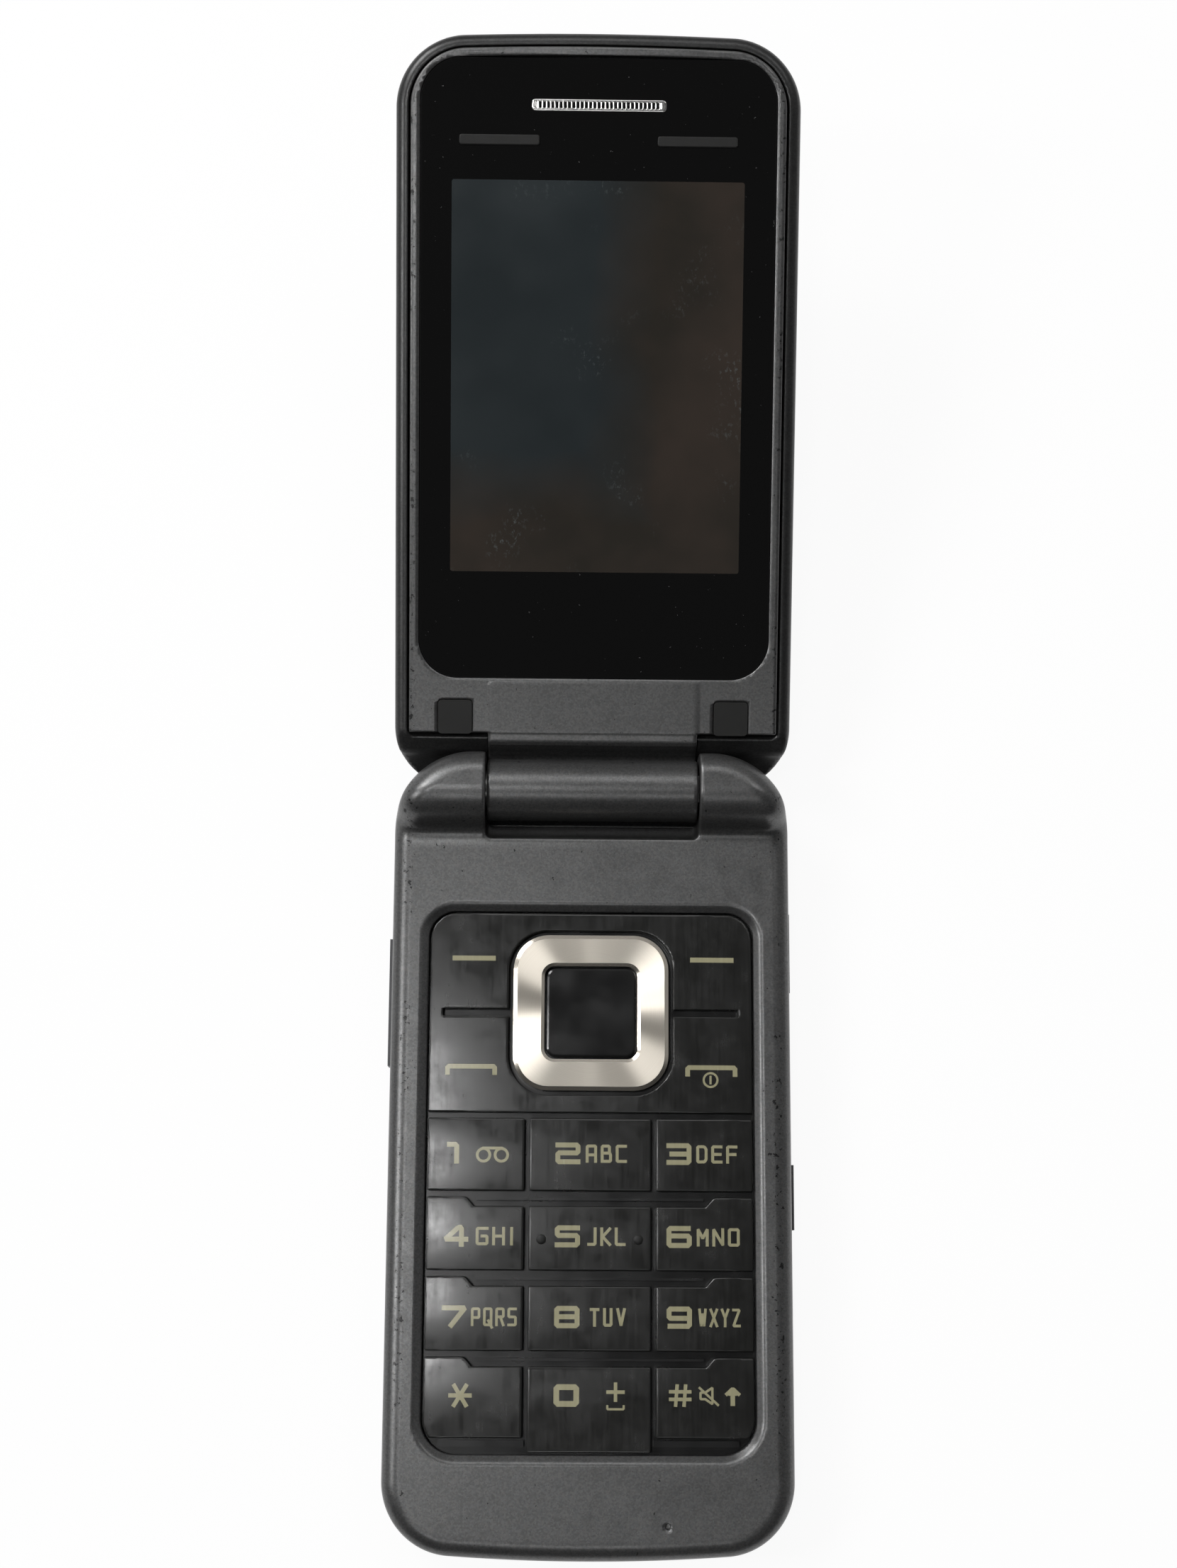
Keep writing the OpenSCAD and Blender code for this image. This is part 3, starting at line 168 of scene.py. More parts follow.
def bowed(x, y, y_free, y_end, r_free, r_end, bow=BOW_R):
    """Distance to the plan outline: round corners, and a free end, the lower in Y, bowed outwards."""
    x = np.abs(x)
    side, middle = HALF_W - r_free, y_free + bow
    reach = bow - r_free
    corner_y = middle - math.sqrt(reach ** 2 - side ** 2)
    out_x, out_arc = x - side, np.hypot(x, middle - y) - reach
    past_side = y < corner_y
    past_arc = x * (middle - corner_y) > side * (middle - y)
    past_corner = np.hypot(out_x, y - corner_y)
    free = np.where(past_side & past_arc, past_corner, np.maximum(out_x, out_arc)) - r_free
    far = 400
    end = rect(x, y, -HALF_W, HALF_W, y_end - far, y_end, r_end)
    return np.where(y < (y_free + y_end) / 2, free, end)


def base_plan(x, y):
    return bowed(x, y, FREE_Y, END_Y, CORNER_R, EAR_CORNER_R)


def lid_plan(x, y):
    return bowed(x, -y, -LID_REACH, LID_WRAP, CORNER_R, LID_CORNER_R, LID_BOW_R)


# ------------ meshes
def slope(field, p, reach=0.02):
    """The field's slope at points, from its values at a small reach on both sides."""
    parts = []
    for a in range(3):
        step = np.zeros(3)
        step[a] = reach
        above, below = p + step, p - step
        parts.append((field(*above.T) - field(*below.T)) / (2 * reach))
    return np.stack(parts, 1)


def unit(vectors):
    return vectors / np.maximum(np.linalg.norm(vectors, axis=1), 1e-9)[:, None]


def point_on_edge(field, start, a, step, f0, f1):
    """Where the field is zero on each grid edge along axis a, by false position kept inside its ends."""
    t0, t1 = np.zeros(len(f0)), np.ones(len(f0))
    for _ in range(5):
        margin = 0.02 * (t1 - t0)
        t = np.clip((t0 * f1 - t1 * f0) / (f1 - f0 + 1e-12), t0 + margin, t1 - margin)
        p = start.copy()
        p[:, a] += t * step
        ft = field(*p.T)
        same = (ft < 0) == (f0 < 0)
        t0, f0 = np.where(same, t, t0), np.where(same, ft, f0)
        t1, f1 = np.where(same, t1, t), np.where(same, f1, ft)
    return p


def crossings(field, grid, low, step, a):
    """The grid edges along axis a that the surface crosses: the four cells around each, whether it
    starts inside, the point of the crossing, and the field's slope there."""
    b, c = (a + 1) % 3, (a + 2) % 3
    cells = np.array(grid.shape) - 1
    inside = grid < 0
    lower, upper = [slice(None)] * 3, [slice(None)] * 3
    lower[a], upper[a] = slice(0, -1), slice(1, None)
    at = np.array(np.nonzero(inside[tuple(lower)] != inside[tuple(upper)]))
    at = at[:, (at[b] > 0) & (at[b] < cells[b]) & (at[c] > 0) & (at[c] < cells[c])]
    after = at.copy()
    after[a] += 1
    f0, f1 = grid[tuple(at)].astype(float), grid[tuple(after)].astype(float)
    p = point_on_edge(field, low + step * at.T, a, step, f0, f1)
    around = []
    for db, dc in ((-1, -1), (0, -1), (0, 0), (-1, 0)):
        cell = at.copy()
        cell[b] += db
        cell[c] += dc
        around.append((cell[0] * cells[1] + cell[1]) * cells[2] + cell[2])
    return np.stack(around, 1), f0 < 0, p, unit(slope(field, p))


def cell_points(row, total, p, n, step):
    """One point for each cell, close to all the planes through the crossings around it."""
    def gather(values):
        return np.bincount(row, values, total)

    count = gather(np.ones(len(row)))
    centre = np.stack([gather(p[:, a]) for a in range(3)], 1) / count[:, None]
    off = ((p - centre[row]) * n).sum(1)
    side = np.stack([gather(n[:, a] * off) for a in range(3)], 1)
    square = np.zeros((total, 3, 3))
    for a in range(3):
        for b in range(3):
            square[:, a, b] = gather(n[:, a] * n[:, b])
    square += 0.06 * np.eye(3)
    move = np.linalg.solve(square, side[:, :, None])[:, :, 0]
    length = np.linalg.norm(move, axis=1)
    return centre + move * np.minimum(1, 0.9 * step / np.maximum(length, 1e-9))[:, None]


def field_mesh(name, field, low, high, step, place=None, shade=None):
    """A closed mesh of where the field is negative. Its points sit on the field's own edges, and its
    normals are the field's own slope, or that of shade."""
    low = np.array(low, float) - 1.37 * step
    counts = np.ceil((np.array(high, float) - low) / step).astype(int) + 3
    x, y, z = [low[a] + step * np.arange(counts[a]) for a in range(3)]
    grid = np.broadcast_to(field(x[:, None, None], y[None, :, None], z[None, None, :]), counts)
    cells, points, slopes, quads = [], [], [], []
    for a in range(3):
        around, starts_inside, p, n = crossings(field, grid, low, step, a)
        quads.append(np.where(starts_inside[:, None], around, around[:, ::-1]))
        cells += list(around.T)
        points += [p] * 4
        slopes += [n] * 4
    ids, row = np.unique(np.concatenate(cells), return_inverse=True)
    points = cell_points(row, len(ids), np.concatenate(points), np.concatenate(slopes), step)
    for _ in range(3):
        g = slope(field, points)
        move = field(*points.T) / np.maximum((g * g).sum(1), 0.2)
        points -= g * np.clip(move, -0.3 * step, 0.3 * step)[:, None]
    normals = unit(slope(shade or field, points, 0.04))
    quads = np.searchsorted(ids, np.concatenate(quads))
    return mesh_piece(name, points, quads.tolist(), place, normals)


def mesh_piece(name, points, faces, place=None, normals=None, smooth=True):
    """An object from millimetre points. place is a matrix in millimetres."""
    points = np.array(points, float)
    if place is not None:
        m = np.array(place)
        points = points @ m[:3, :3].T + m[:3, 3]
        if normals is not None:
            normals = normals @ m[:3, :3].T
    mesh = bpy.data.meshes.new(name)
    mesh.from_pydata((points * MM).tolist(), [], faces)
    mesh.update()
    mesh.polygons.foreach_set("use_smooth", [smooth] * len(mesh.polygons))
    if normals is not None:
        mesh.normals_split_custom_set_from_vertices(normals.tolist())
    piece = bpy.data.objects.new(name, mesh)
    bpy.context.scene.collection.objects.link(piece)
    return piece


def bend(loop):
    """The loop with its end at the lid's tip lowered along the tip's bow."""
    return [(x, y - x * x / 2 / LID_BOW_R if y > BOW_START else y) for x, y in loop]


def rect_loop(x, y_low, y_high, r, inset=0.0, steps=8):
    """Points of a rounded rectangle about X = 0, anticlockwise."""
    points = []
    corners = ((x - r, y_low + r, 270), (x - r, y_high - r, 0), (r - x, y_high - r, 90),
               (r - x, y_low + r, 180))
    for cx, cy, start in corners:
        for k in range(steps + 1):
            turn = math.radians(start + 90 * k / steps)
            points.append((cx + (r - inset) * math.cos(turn), cy + (r - inset) * math.sin(turn)))
    return points


def lofted(name, loops, closed_ring=False, place=None, sharp=30):
    """A mesh through loops of (x, y, z) points, as many in each. closed_ring joins the last loop to
    the first."""
    n = len(loops[0])
    points = [p for loop in loops for p in loop]
    faces = []
    for k in range(len(loops) if closed_ring else len(loops) - 1):
        a, b = k * n, (k + 1) % len(loops) * n
        faces += [(a + j, a + (j + 1) % n, b + (j + 1) % n, b + j) for j in range(n)]
    if not closed_ring:
        faces += [tuple(range(n - 1, -1, -1)), tuple((len(loops) - 1) * n + j for j in range(n))]
    piece = mesh_piece(name, points, faces, place)
    soften(piece, sharp)
    return piece


def soften(piece, sharp=30):
    """Smooth shading, sharp where faces meet at more than this angle."""
    bm = bmesh.new()
    bm.from_mesh(piece.data)
    bmesh.ops.remove_doubles(bm, verts=bm.verts, dist=1e-7)
    bmesh.ops.recalc_face_normals(bm, faces=bm.faces)
    for edge in bm.edges:
        edge.smooth = len(edge.link_faces) == 2 and edge.calc_face_angle(0) < math.radians(sharp)
    for face in bm.faces:
        face.smooth = True
    bm.to_mesh(piece.data)
    bm.free()
    weigh = piece.modifiers.new("weighted", "WEIGHTED_NORMAL")
    weigh.keep_sharp = True


def at_z(loop, z):
    return [(x, y, z) for x, y in loop]


# ------------ materials
def srgb(*rgb):
    """A linear colour from the 0 to 255 values of its screen colour."""
    shares = [v / 255 for v in rgb]
    return tuple(c / 12.92 if c <= 0.04045 else ((c + 0.055) / 1.055) ** 2.4 for c in shares) + (1.0,)


class Nodes:
    """A small helper that adds and links shader nodes."""

    def __init__(self, name):
        self.material = bpy.data.materials.new(name)
        self.material.use_nodes = True
        self.tree = self.material.node_tree
        self.shader = self.tree.nodes["Principled BSDF"]
        self.where = self.tree.nodes.new("ShaderNodeTexCoord").outputs["Object"]

    def add(self, kind, **values):
        node = self.tree.nodes.new(kind)
        for key, value in values.items():
            if key in node.inputs:
                self.feed(node.inputs[key], value)
            else:
                setattr(node, key, value)
        return node

    def feed(self, socket, value):
        if isinstance(value, bpy.types.NodeSocket):
            self.tree.links.new(value, socket)
        else:
            socket.default_value = value

    def set(self, **values):
        for key, value in values.items():
            self.feed(self.shader.inputs[key.replace("_", " ")], value)

    def scaled(self, x, y, z):
        node = self.add("ShaderNodeMapping", Vector=self.where)
        node.inputs["Scale"].default_value = (x, y, z)
        return node.outputs["Vector"]

    def noise(self, scale, detail=2.0, rough=0.5, vector=None):
        return self.add("ShaderNodeTexNoise", Vector=vector or self.where, Scale=scale, Detail=detail,
                        Roughness=rough).outputs["Fac"]

    def spots(self, scale):
        return self.add("ShaderNodeTexVoronoi", Vector=self.where, Scale=scale).outputs["Color"]

    def math(self, kind, a, b=0.0):
        node = self.add("ShaderNodeMath", operation=kind)
        self.feed(node.inputs[0], a)
        self.feed(node.inputs[1], b)
        return node.outputs[0]

    def remap(self, value, low, high, to_low=0.0, to_high=1.0):
        node = self.add("ShaderNodeMapRange")
        for k, v in enumerate((value, low, high, to_low, to_high)):
            self.feed(node.inputs[k], v)
        return node.outputs[0]

    def mix(self, fac, a, b):
        node = self.add("ShaderNodeMix", data_type="RGBA")
        self.feed(node.inputs[0], fac)
        self.feed(node.inputs[6], a)
        self.feed(node.inputs[7], b)
        return node.outputs[2]

    def tinted(self, colour, tone):
        """A colour times a tone."""
        node = self.add("ShaderNodeVectorMath", operation="SCALE")
        self.feed(node.inputs[0], colour)
        self.feed(node.inputs["Scale"], tone)
        return node.outputs[0]

    def bump(self, height, strength, distance):
        node = self.add("ShaderNodeBump", Height=height, Strength=strength, Distance=distance)
        self.feed(self.shader.inputs["Normal"], node.outputs[0])

    def axis(self, k):
        return self.add("ShaderNodeSeparateXYZ", Vector=self.where).outputs[k]


def grey(v, warm=0.0):
    return (v * (1 + warm), v, v * (1 - warm), 1.0)


# The lid's and base's handled edges, where the paint chips: distances from X = 0, in metres
WORN_FROM, WORN_TO = 0.0226, 0.0238


def paint(name, level, roughness, wear=True):
    """Metallic paint: fine flakes, a slow drift in tone, and dark chips along the handled edges."""
    m = Nodes(name)
    flake = m.add("ShaderNodeSeparateColor", Color=m.spots(5200)).outputs[0]
    drift = m.noise(55, 3)
    tone = m.math("ADD", m.remap(flake, 0, 1, 0.84, 1.2), m.remap(drift, 0.3, 0.7, -0.06, 0.06))
    colour = m.tinted(m.mix(m.noise(2600, 1), grey(level, 0.035), grey(level, -0.035)), tone)
    if wear:
        chips = m.math("GREATER_THAN", m.noise(1500, 4, 0.65), 0.6)
        worn = m.math("GREATER_THAN", m.noise(70, 2), 0.47)
        out_x = m.math("ABSOLUTE", m.axis(0))
        edge = m.math("MULTIPLY", m.math("GREATER_THAN", out_x, WORN_FROM),
                      m.math("LESS_THAN", out_x, WORN_TO))
        few = m.math("GREATER_THAN", m.noise(900, 3, 0.6), 0.715)
        mask = m.math("MAXIMUM", m.math("MULTIPLY", m.math("MULTIPLY", chips, worn), edge), few)
        colour = m.mix(mask, colour, grey(level * 0.22))
    rough = m.remap(m.noise(400, 3), 0.3, 0.7, roughness - 0.03, roughness + 0.04)
    m.set(Base_Color=colour, Metallic=0.75, Roughness=rough)
    m.bump(m.math("ADD", flake, m.noise(4200, 2)), 0.07, 0.00002)
    return m.material


def plastic(name, colour, roughness, grain=1800, depth=0.00002, specular=0.5):
    """Moulded plastic or rubber with a fine grain, as deep as depth in metres."""
    m = Nodes(name)
    fine = m.noise(grain, 3, 0.6)
    rough = m.remap(m.noise(260, 3), 0.3, 0.7, roughness - 0.05, roughness + 0.05)
    m.set(Base_Color=m.tinted(colour[:3], m.remap(fine, 0.25, 0.75, 0.9, 1.1)), Roughness=rough)
    m.shader.inputs["Specular IOR Level"].default_value = specular
    m.bump(fine, 0.12, depth)
    return m.material


def keycap(name, colour, streak=0.08):
    """Satin keys: fine brushing along Y, with faint cloudy wear."""
    m = Nodes(name)
    brushed = m.noise(2600, 2, 0.6, m.scaled(1.0, 0.05, 1.0))
    cloud = m.noise(210, 6, 0.7)
    tone = m.remap(brushed, 0.3, 0.7, 1 - streak, 1 + streak)
    rough = m.math("ADD", m.remap(cloud, 0.35, 0.65, 0.15, 0.27), m.remap(brushed, 0.3, 0.7, -0.02, 0.03))
    m.set(Base_Color=m.tinted(colour[:3], tone), Roughness=rough)
    m.bump(m.math("ADD", brushed, m.math("MULTIPLY", cloud, 0.4)), 0.04, 0.00001)
    return m.material


def metal(name, colour, roughness):
    """Bare metal with a fine uneven finish."""
    m = Nodes(name)
    fine = m.noise(2500, 2)
    rough = m.remap(fine, 0.3, 0.7, roughness - 0.02, roughness + 0.03)
    m.set(Base_Color=m.tinted(colour[:3], m.remap(fine, 0.3, 0.7, 0.93, 1.05)), Metallic=1.0, Roughness=rough)
    m.bump(fine, 0.03, 0.00001)
    return m.material


def gloss(name, colour, smear=0.02):
    """Polished glass over black, with faint smears and specks of dust."""
    m = Nodes(name)
    haze = m.noise(60, 4, 0.6)
    dust = m.math("GREATER_THAN", m.noise(2400, 2, 0.5), 0.76)
    m.set(Base_Color=m.mix(m.math("MULTIPLY", dust, 0.6), colour, grey(0.12)),
          Roughness=m.remap(haze, 0.35, 0.75, 0.02, 0.02 + smear))
    return m.material


# Where the display's face turns from cool to warm, to the right and towards its low end, in metres
WARM_X, WARM_Y = (0.005, 0.013), (0.079, 0.071)


def screen_face(name):
    """Dark display face: cool, but warm on the right and at its low end, with a painted reflection of pale
    streaks.
    """
    m = Nodes(name)
    wander = m.math("MULTIPLY", m.noise(45, 3), 0.012)
    right = m.remap(m.math("ADD", m.axis(0), wander), *WARM_X)
    low = m.remap(m.math("SUBTRACT", m.axis(1), wander), *WARM_Y)
    cool = m.mix(m.remap(m.noise(60, 2), 0.35, 0.65), srgb(37, 42, 44), srgb(44, 49, 51))
    warm = m.mix(m.remap(m.noise(70, 3), 0.35, 0.65), srgb(42, 39, 35), srgb(55, 48, 43))
    tone = m.mix(m.math("MAXIMUM", right, low), cool, warm)
    # Painted reflection: pale streaks in patches stand in for light mirrored in the face
    patch = m.remap(m.noise(110, 2), 0.56, 0.7)
    light_streak_reflection = m.remap(m.noise(2100, 3, 0.7, m.scaled(1, 0.6, 1)), 0.56, 0.72)
    painted_reflection = m.math("MULTIPLY", m.math("MULTIPLY", light_streak_reflection, patch), 0.4)
    m.set(Base_Color=m.mix(painted_reflection, tone, srgb(112, 120, 121)),
          Roughness=m.remap(m.noise(120, 3), 0.3, 0.8, 0.04, 0.12))
    return m.material


def spun(name, top):
    """Metal turned about the ring's middle: fine circular grooves above top, bright cut edges below."""
    m = Nodes(name)
    xy = m.add("ShaderNodeVectorMath", operation="MULTIPLY")
    m.feed(xy.inputs[0], m.where)
    xy.inputs[1].default_value = (1, 1, 0)
    radius = m.add("ShaderNodeVectorMath", operation="LENGTH")
    m.feed(radius.inputs[0], xy.outputs[0])
    across = m.add("ShaderNodeCombineXYZ", X=radius.outputs["Value"]).outputs[0]
    grooves = m.noise(9000, 1, 0.5, across)
    face = m.math("GREATER_THAN", m.axis(2), top)
    rough = m.remap(face, 0, 1, 0.2, m.remap(grooves, 0.3, 0.7, 0.31, 0.36))
    m.set(Base_Color=m.mix(grooves, srgb(214, 206, 193), srgb(230, 223, 211)), Metallic=1.0,
          Roughness=rough, Anisotropic=face)
    m.shader.inputs["Anisotropic Rotation"].default_value = 0.25
    around = m.add("ShaderNodeTangent", direction_type="RADIAL", axis="Z").outputs[0]
    m.feed(m.shader.inputs["Tangent"], around)
    m.bump(grooves, 0.1, 0.00001)
    return m.material


MATERIALS = {
    "housing_paint": paint("housing_paint", 0.10, 0.33),
    "cover_paint": paint("cover_paint", 0.042, 0.34, wear=False),
    "gloss_black": gloss("gloss_black", grey(0.0038)),
    "display": screen_face("display"),
    "key_plastic": keycap("key_plastic", srgb(28, 28, 27)),
    "ok_gloss": plastic("ok_gloss", srgb(22, 22, 22), 0.16, 900),
    "spun_metal": spun("spun_metal", (RING_TOP - 0.01) * MM),
    "bright_trim": metal("bright_trim", srgb(225, 224, 222), 0.16),
    "button_plastic": plastic("button_plastic", srgb(62, 62, 64), 0.4),
    "rubber": plastic("rubber", srgb(24, 24, 23), 0.5, 1400, 0.00003, 0.3),
    "silicone": plastic("silicone", srgb(17, 17, 17), 0.24, 1400, 0.00001, 0.4),
    "film": plastic("film", (0.45, 0.30, 0.12, 1), 0.3),
    "board": plastic("board", (0.02, 0.12, 0.06, 1), 0.35),
    "steel": metal("steel", srgb(120, 120, 119), 0.35),
    "battery_case": metal("battery_case", srgb(200, 200, 198), 0.4),
    "contacts": metal("contacts", (0.8, 0.6, 0.25, 1), 0.25),
    "dark_plastic": plastic("dark_plastic", srgb(40, 40, 40), 0.5),
    "magnet": metal("magnet", srgb(165, 165, 163), 0.35),
    "legend_print": keycap("legend_print", srgb(146, 142, 114), 0.06),
}
SLOT_OF = {s["node"]: s["material_slot"] for s in frame["record"]["subparts"]}
for node_name, node in frame["nodes"].items():
    node.data.materials.clear()
    node.data.materials.append(MATERIALS[SLOT_OF[node_name]])
    for face in node.data.polygons:
        face.material_index = 0


def dress(piece, body, slot, *nodes):
    """A piece takes its body, its finish and the CAD nodes that it stands for."""
    piece.data.materials.append(MATERIALS[slot])
    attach(piece, body)
    if nodes:
        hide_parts(*nodes)
    return piece


# ------------ base
def side_openings(x, y, z):
    far = 30
    parts = [block(side * x, y, z, (HALF_W - depth, y_low, z_low), (far, y_high, z_high))
             for side, y_low, y_high, z_low, z_high, depth in SIDE_OPENINGS]
    parts += [block(side * x, y, z, (FLANGE_ROOM_X[0], y_low, FLANGE_ROOM_Z[0]),
                    (FLANGE_ROOM_X[1], y_high, FLANGE_ROOM_Z[1])) for side, y_low, y_high in FLANGE_ROOMS]
    return union(*parts)


def keypad_window(x, y, z):
    """The hole for the keypad and the bevel around it."""
    window = rect(x, y, -WINDOW_X, WINDOW_X, WINDOW_LOW, WINDOW_TOP, WINDOW_LOW_R, WINDOW_TOP_R)
    bevel = (window * BEVEL_H - (z - DECK_Z + BEVEL_H) * BEVEL_W) / math.hypot(BEVEL_W, BEVEL_H)
    return round_or(window, bevel, 0.1)


def base_room(x, y, z, plan):
    """The hollow under the deck, the ears' bores and the microphone's hole."""
    room = block(x, y, z, (-HALF_W + WALL, FREE_Y + WALL, 0), (HALF_W - WALL, ROOM_END_Y, DECK_UNDER), 2)
    bore = np.maximum(np.hypot(y - HINGE_Y, z - HINGE_Z) - BORE_R, np.maximum(x, -SLOT_X - SOCKET_L - x))
    square = block(x, y, z, (SLOT_X - 1, HINGE_Y - SHAFT_SQUARE / 2, HINGE_Z - SHAFT_SQUARE / 2),
                   (SLOT_X + SOCKET_L, HINGE_Y + SHAFT_SQUARE / 2, HINGE_Z + SHAFT_SQUARE / 2))
    hole = np.hypot(x - MIC[0], y - MIC[1]) - MIC[2]
    return union(round_and(room, plan + WALL, 0.5), bore, square, hole)


def deck_field(x, y, z):
    plan = base_plan(x, y)
    axis = np.hypot(y - HINGE_Y, z - HINGE_Z)
    behind = (y - HINGE_Y) * math.cos(LEAN) + (z - HINGE_Z) * math.sin(LEAN) + LID_WRAP + LID_GAP
    deck = round_and(round_and(plan, z - DECK_Z, DECK_EDGE_R), behind, 0.5)
    bar = np.where(y < HINGE_Y, axis, np.abs(z - HINGE_Z) + 0 * y) - EAR_R
    body = blend_or(deck, round_and(bar, plan, EAR_EDGE_R), EAR_FILLET)
    slot = round_and(axis - SLOT_R, np.abs(x) - SLOT_X, 0.7)
    body = without(round_and(body, plan, 0.4), slot, 0.3)
    body = without(body, keypad_window(x, y, z), 0.18)
    body = without(body, union(base_room(x, y, z, plan), side_openings(x, y, z)), 0.12)
    return round_and(body, SPLIT_Z + SPLIT_GAP - z, 0.2)


deck = field_mesh("deck_shell", deck_field, (-25.2, -49.5, 4.7), (25.2, 49.5, 14.3), 0.35)
dress(deck, "base", "housing_paint", "front_housing")


# ------------ keys
def row_top(r):
    return NAV_LOW - ROW_GAP - r * (ROW_H + ROW_GAP)


def row_low(r):
    return row_top(r) - (LAST_ROW_H if r == 3 else ROW_H)


def keys_plan(x, y):
    gap = WINDOW_X - KEYS_X
    return rect(x, y, -KEYS_X, KEYS_X, TAB_LOW, KEYS_TOP, WINDOW_LOW_R - gap, WINDOW_TOP_R - gap)


def bow(x):
    """Fall of the keypad's face towards its sides."""
    return 0.16 * (x / KEYS_X) ** 4


def key_crown(r, c):
    """Height of a number key's top, a little lower towards its edges."""
    x_mid, x_half = sum(COLUMNS[c]) / 2, (COLUMNS[c][1] - COLUMNS[c][0]) / 2
    y_mid, y_half = (row_top(r) + row_low(r)) / 2, (row_top(r) - row_low(r)) / 2

    def top(x, y):
        return KEY_TOP - 0.10 * ((y - y_mid) / y_half) ** 2 - 0.015 * ((x - x_mid) / x_half) ** 2 - bow(x)

    return top


def block_crown(x, y):
    """Height of the sheet around the ring, a little lower towards its ends in Y."""
    return KEY_TOP - 0.14 * ((y - RING_Y) / (RING_Y - NAV_LOW)) ** 2 - bow(x)


def row_relief(x, y, r):
    """The notch along the upper edge of a row, narrower towards its floor."""
    top, floor = row_top(r), row_top(r) - RELIEF_H
    return polygon(x, y, [(-RELIEF_X - 1, top + 1), (-RELIEF_X, top), (1 - RELIEF_X, floor),
                          (RELIEF_X - 1, floor), (RELIEF_X, top), (RELIEF_X + 1, top + 1)])


def number_key(name, r, c):
    """One key of the twelve. The key 0 reaches down between the corner keys."""
    crown = key_crown(r, c)

    def field(x, y, z):
        plan = rect(x, y, *COLUMNS[c], row_low(r), row_top(r), 0.25)
        if (r, c) == (3, 1):
            plan = np.minimum(plan, rect(x, y, *COLUMNS[c], TAB_LOW, row_low(r) + 1, 0.25))
        plan = round_and(plan, keys_plan(x, y), 0.05)
        if r > 0:
            plan = without(plan, row_relief(x, y, r), 0.2)
        return np.maximum(round_and(plan, z - crown(x, y), 0.14), KEY_Z - z)

    low = (COLUMNS[c][0], TAB_LOW if (r, c) == (3, 1) else row_low(r), KEY_Z)
    piece = field_mesh(name + "_cap", field, low, (COLUMNS[c][1], row_top(r), KEY_TOP), 0.22)
    dress(piece, name, "key_plastic", name)


def function_key(name, side, up):
    """A quarter of the sheet around the ring. It is shaded as part of the whole sheet."""
    def field(x, y, z, whole=False):
        u, v = side * x, up * (y - RING_Y)
        seam = np.maximum(SEAM / 2 - u, SEAM / 2 - v)
        half = RING_W / 2 + RING_GAP
        ring = rect(x, y, -half, half, RING_Y - half, RING_Y + half, RING_R + RING_GAP)
        slit = rect(u, v, 0, SLIT_END, -SLIT_H / 2, SLIT_H / 2, 0.15)
        plan = without(np.maximum(keys_plan(x, y), NAV_LOW - y), np.minimum(ring, slit), 0.1)
        face = np.maximum(round_and(plan, z - block_crown(x, y), 0.1), KEY_Z - z)
        return face if whole else np.maximum(face, seam)

    x_low, x_high = (0, KEYS_X) if side > 0 else (-KEYS_X, 0)
    y_low, y_high = (RING_Y, KEYS_TOP) if up > 0 else (NAV_LOW, RING_Y)
    piece = field_mesh(name + "_cap", field, (x_low, y_low, KEY_Z), (x_high, y_high, KEY_TOP), 0.19,
                       shade=lambda x, y, z: field(x, y, z, True))
    dress(piece, name, "key_plastic", name)


NUMBERS = ["key_" + mark for mark in (*"123456789", "star", "0", "hash")]
FUNCTION_KEYS = (("soft_key_left", -1, 1), ("soft_key_right", 1, 1), ("call_key", -1, -1), ("end_key", 1, -1))
for k, key in enumerate(NUMBERS):
    number_key(key, k // 3, k % 3)
for key, side, up in FUNCTION_KEYS:
    function_key(key, side, up)


def ring_loop(w, r, inset, z, y_mid=RING_Y):
    """A level square loop, w wide before its inset."""
    return at_z(rect_loop(w / 2, y_mid - w / 2, y_mid + w / 2, r, inset, 10), z)


# The ring's mesh has its own middle as origin, which its turned finish goes around. Inset and height
# of its loops, up its outer side, over its face and down its hole
ring_low = RING_TOP - RING_T
outside = ((0, ring_low), (0, RING_TOP - 0.24), (0.5, RING_TOP))
inside = ((-0.42, RING_TOP), (-0.02, RING_TOP - 0.19), (0, RING_TOP - 0.25), (0, ring_low))
ring_profile = [(RING_W, RING_R, *row) for row in outside]
ring_profile += [(RING_HOLE, RING_HOLE_R, *row) for row in inside]
ring = lofted("nav_ring_cap", [ring_loop(*row, 0) for row in ring_profile], closed_ring=True, sharp=12)
ring.location = (0, RING_Y * MM, 0)
dress(ring, "nav_ring", "spun_metal", "nav_ring")

ok_profile = [(0, KEY_Z), (0, KEY_TOP - 0.3), (0.08, KEY_TOP - 0.1), (0.3, KEY_TOP), (0.5, KEY_TOP)]
ok_key = lofted("ok_key_cap", [ring_loop(RING_HOLE - 2 * OK_GAP, OK_R, *row) for row in ok_profile], sharp=12)
dress(ok_key, "ok_key", "ok_gloss", "ok_key")

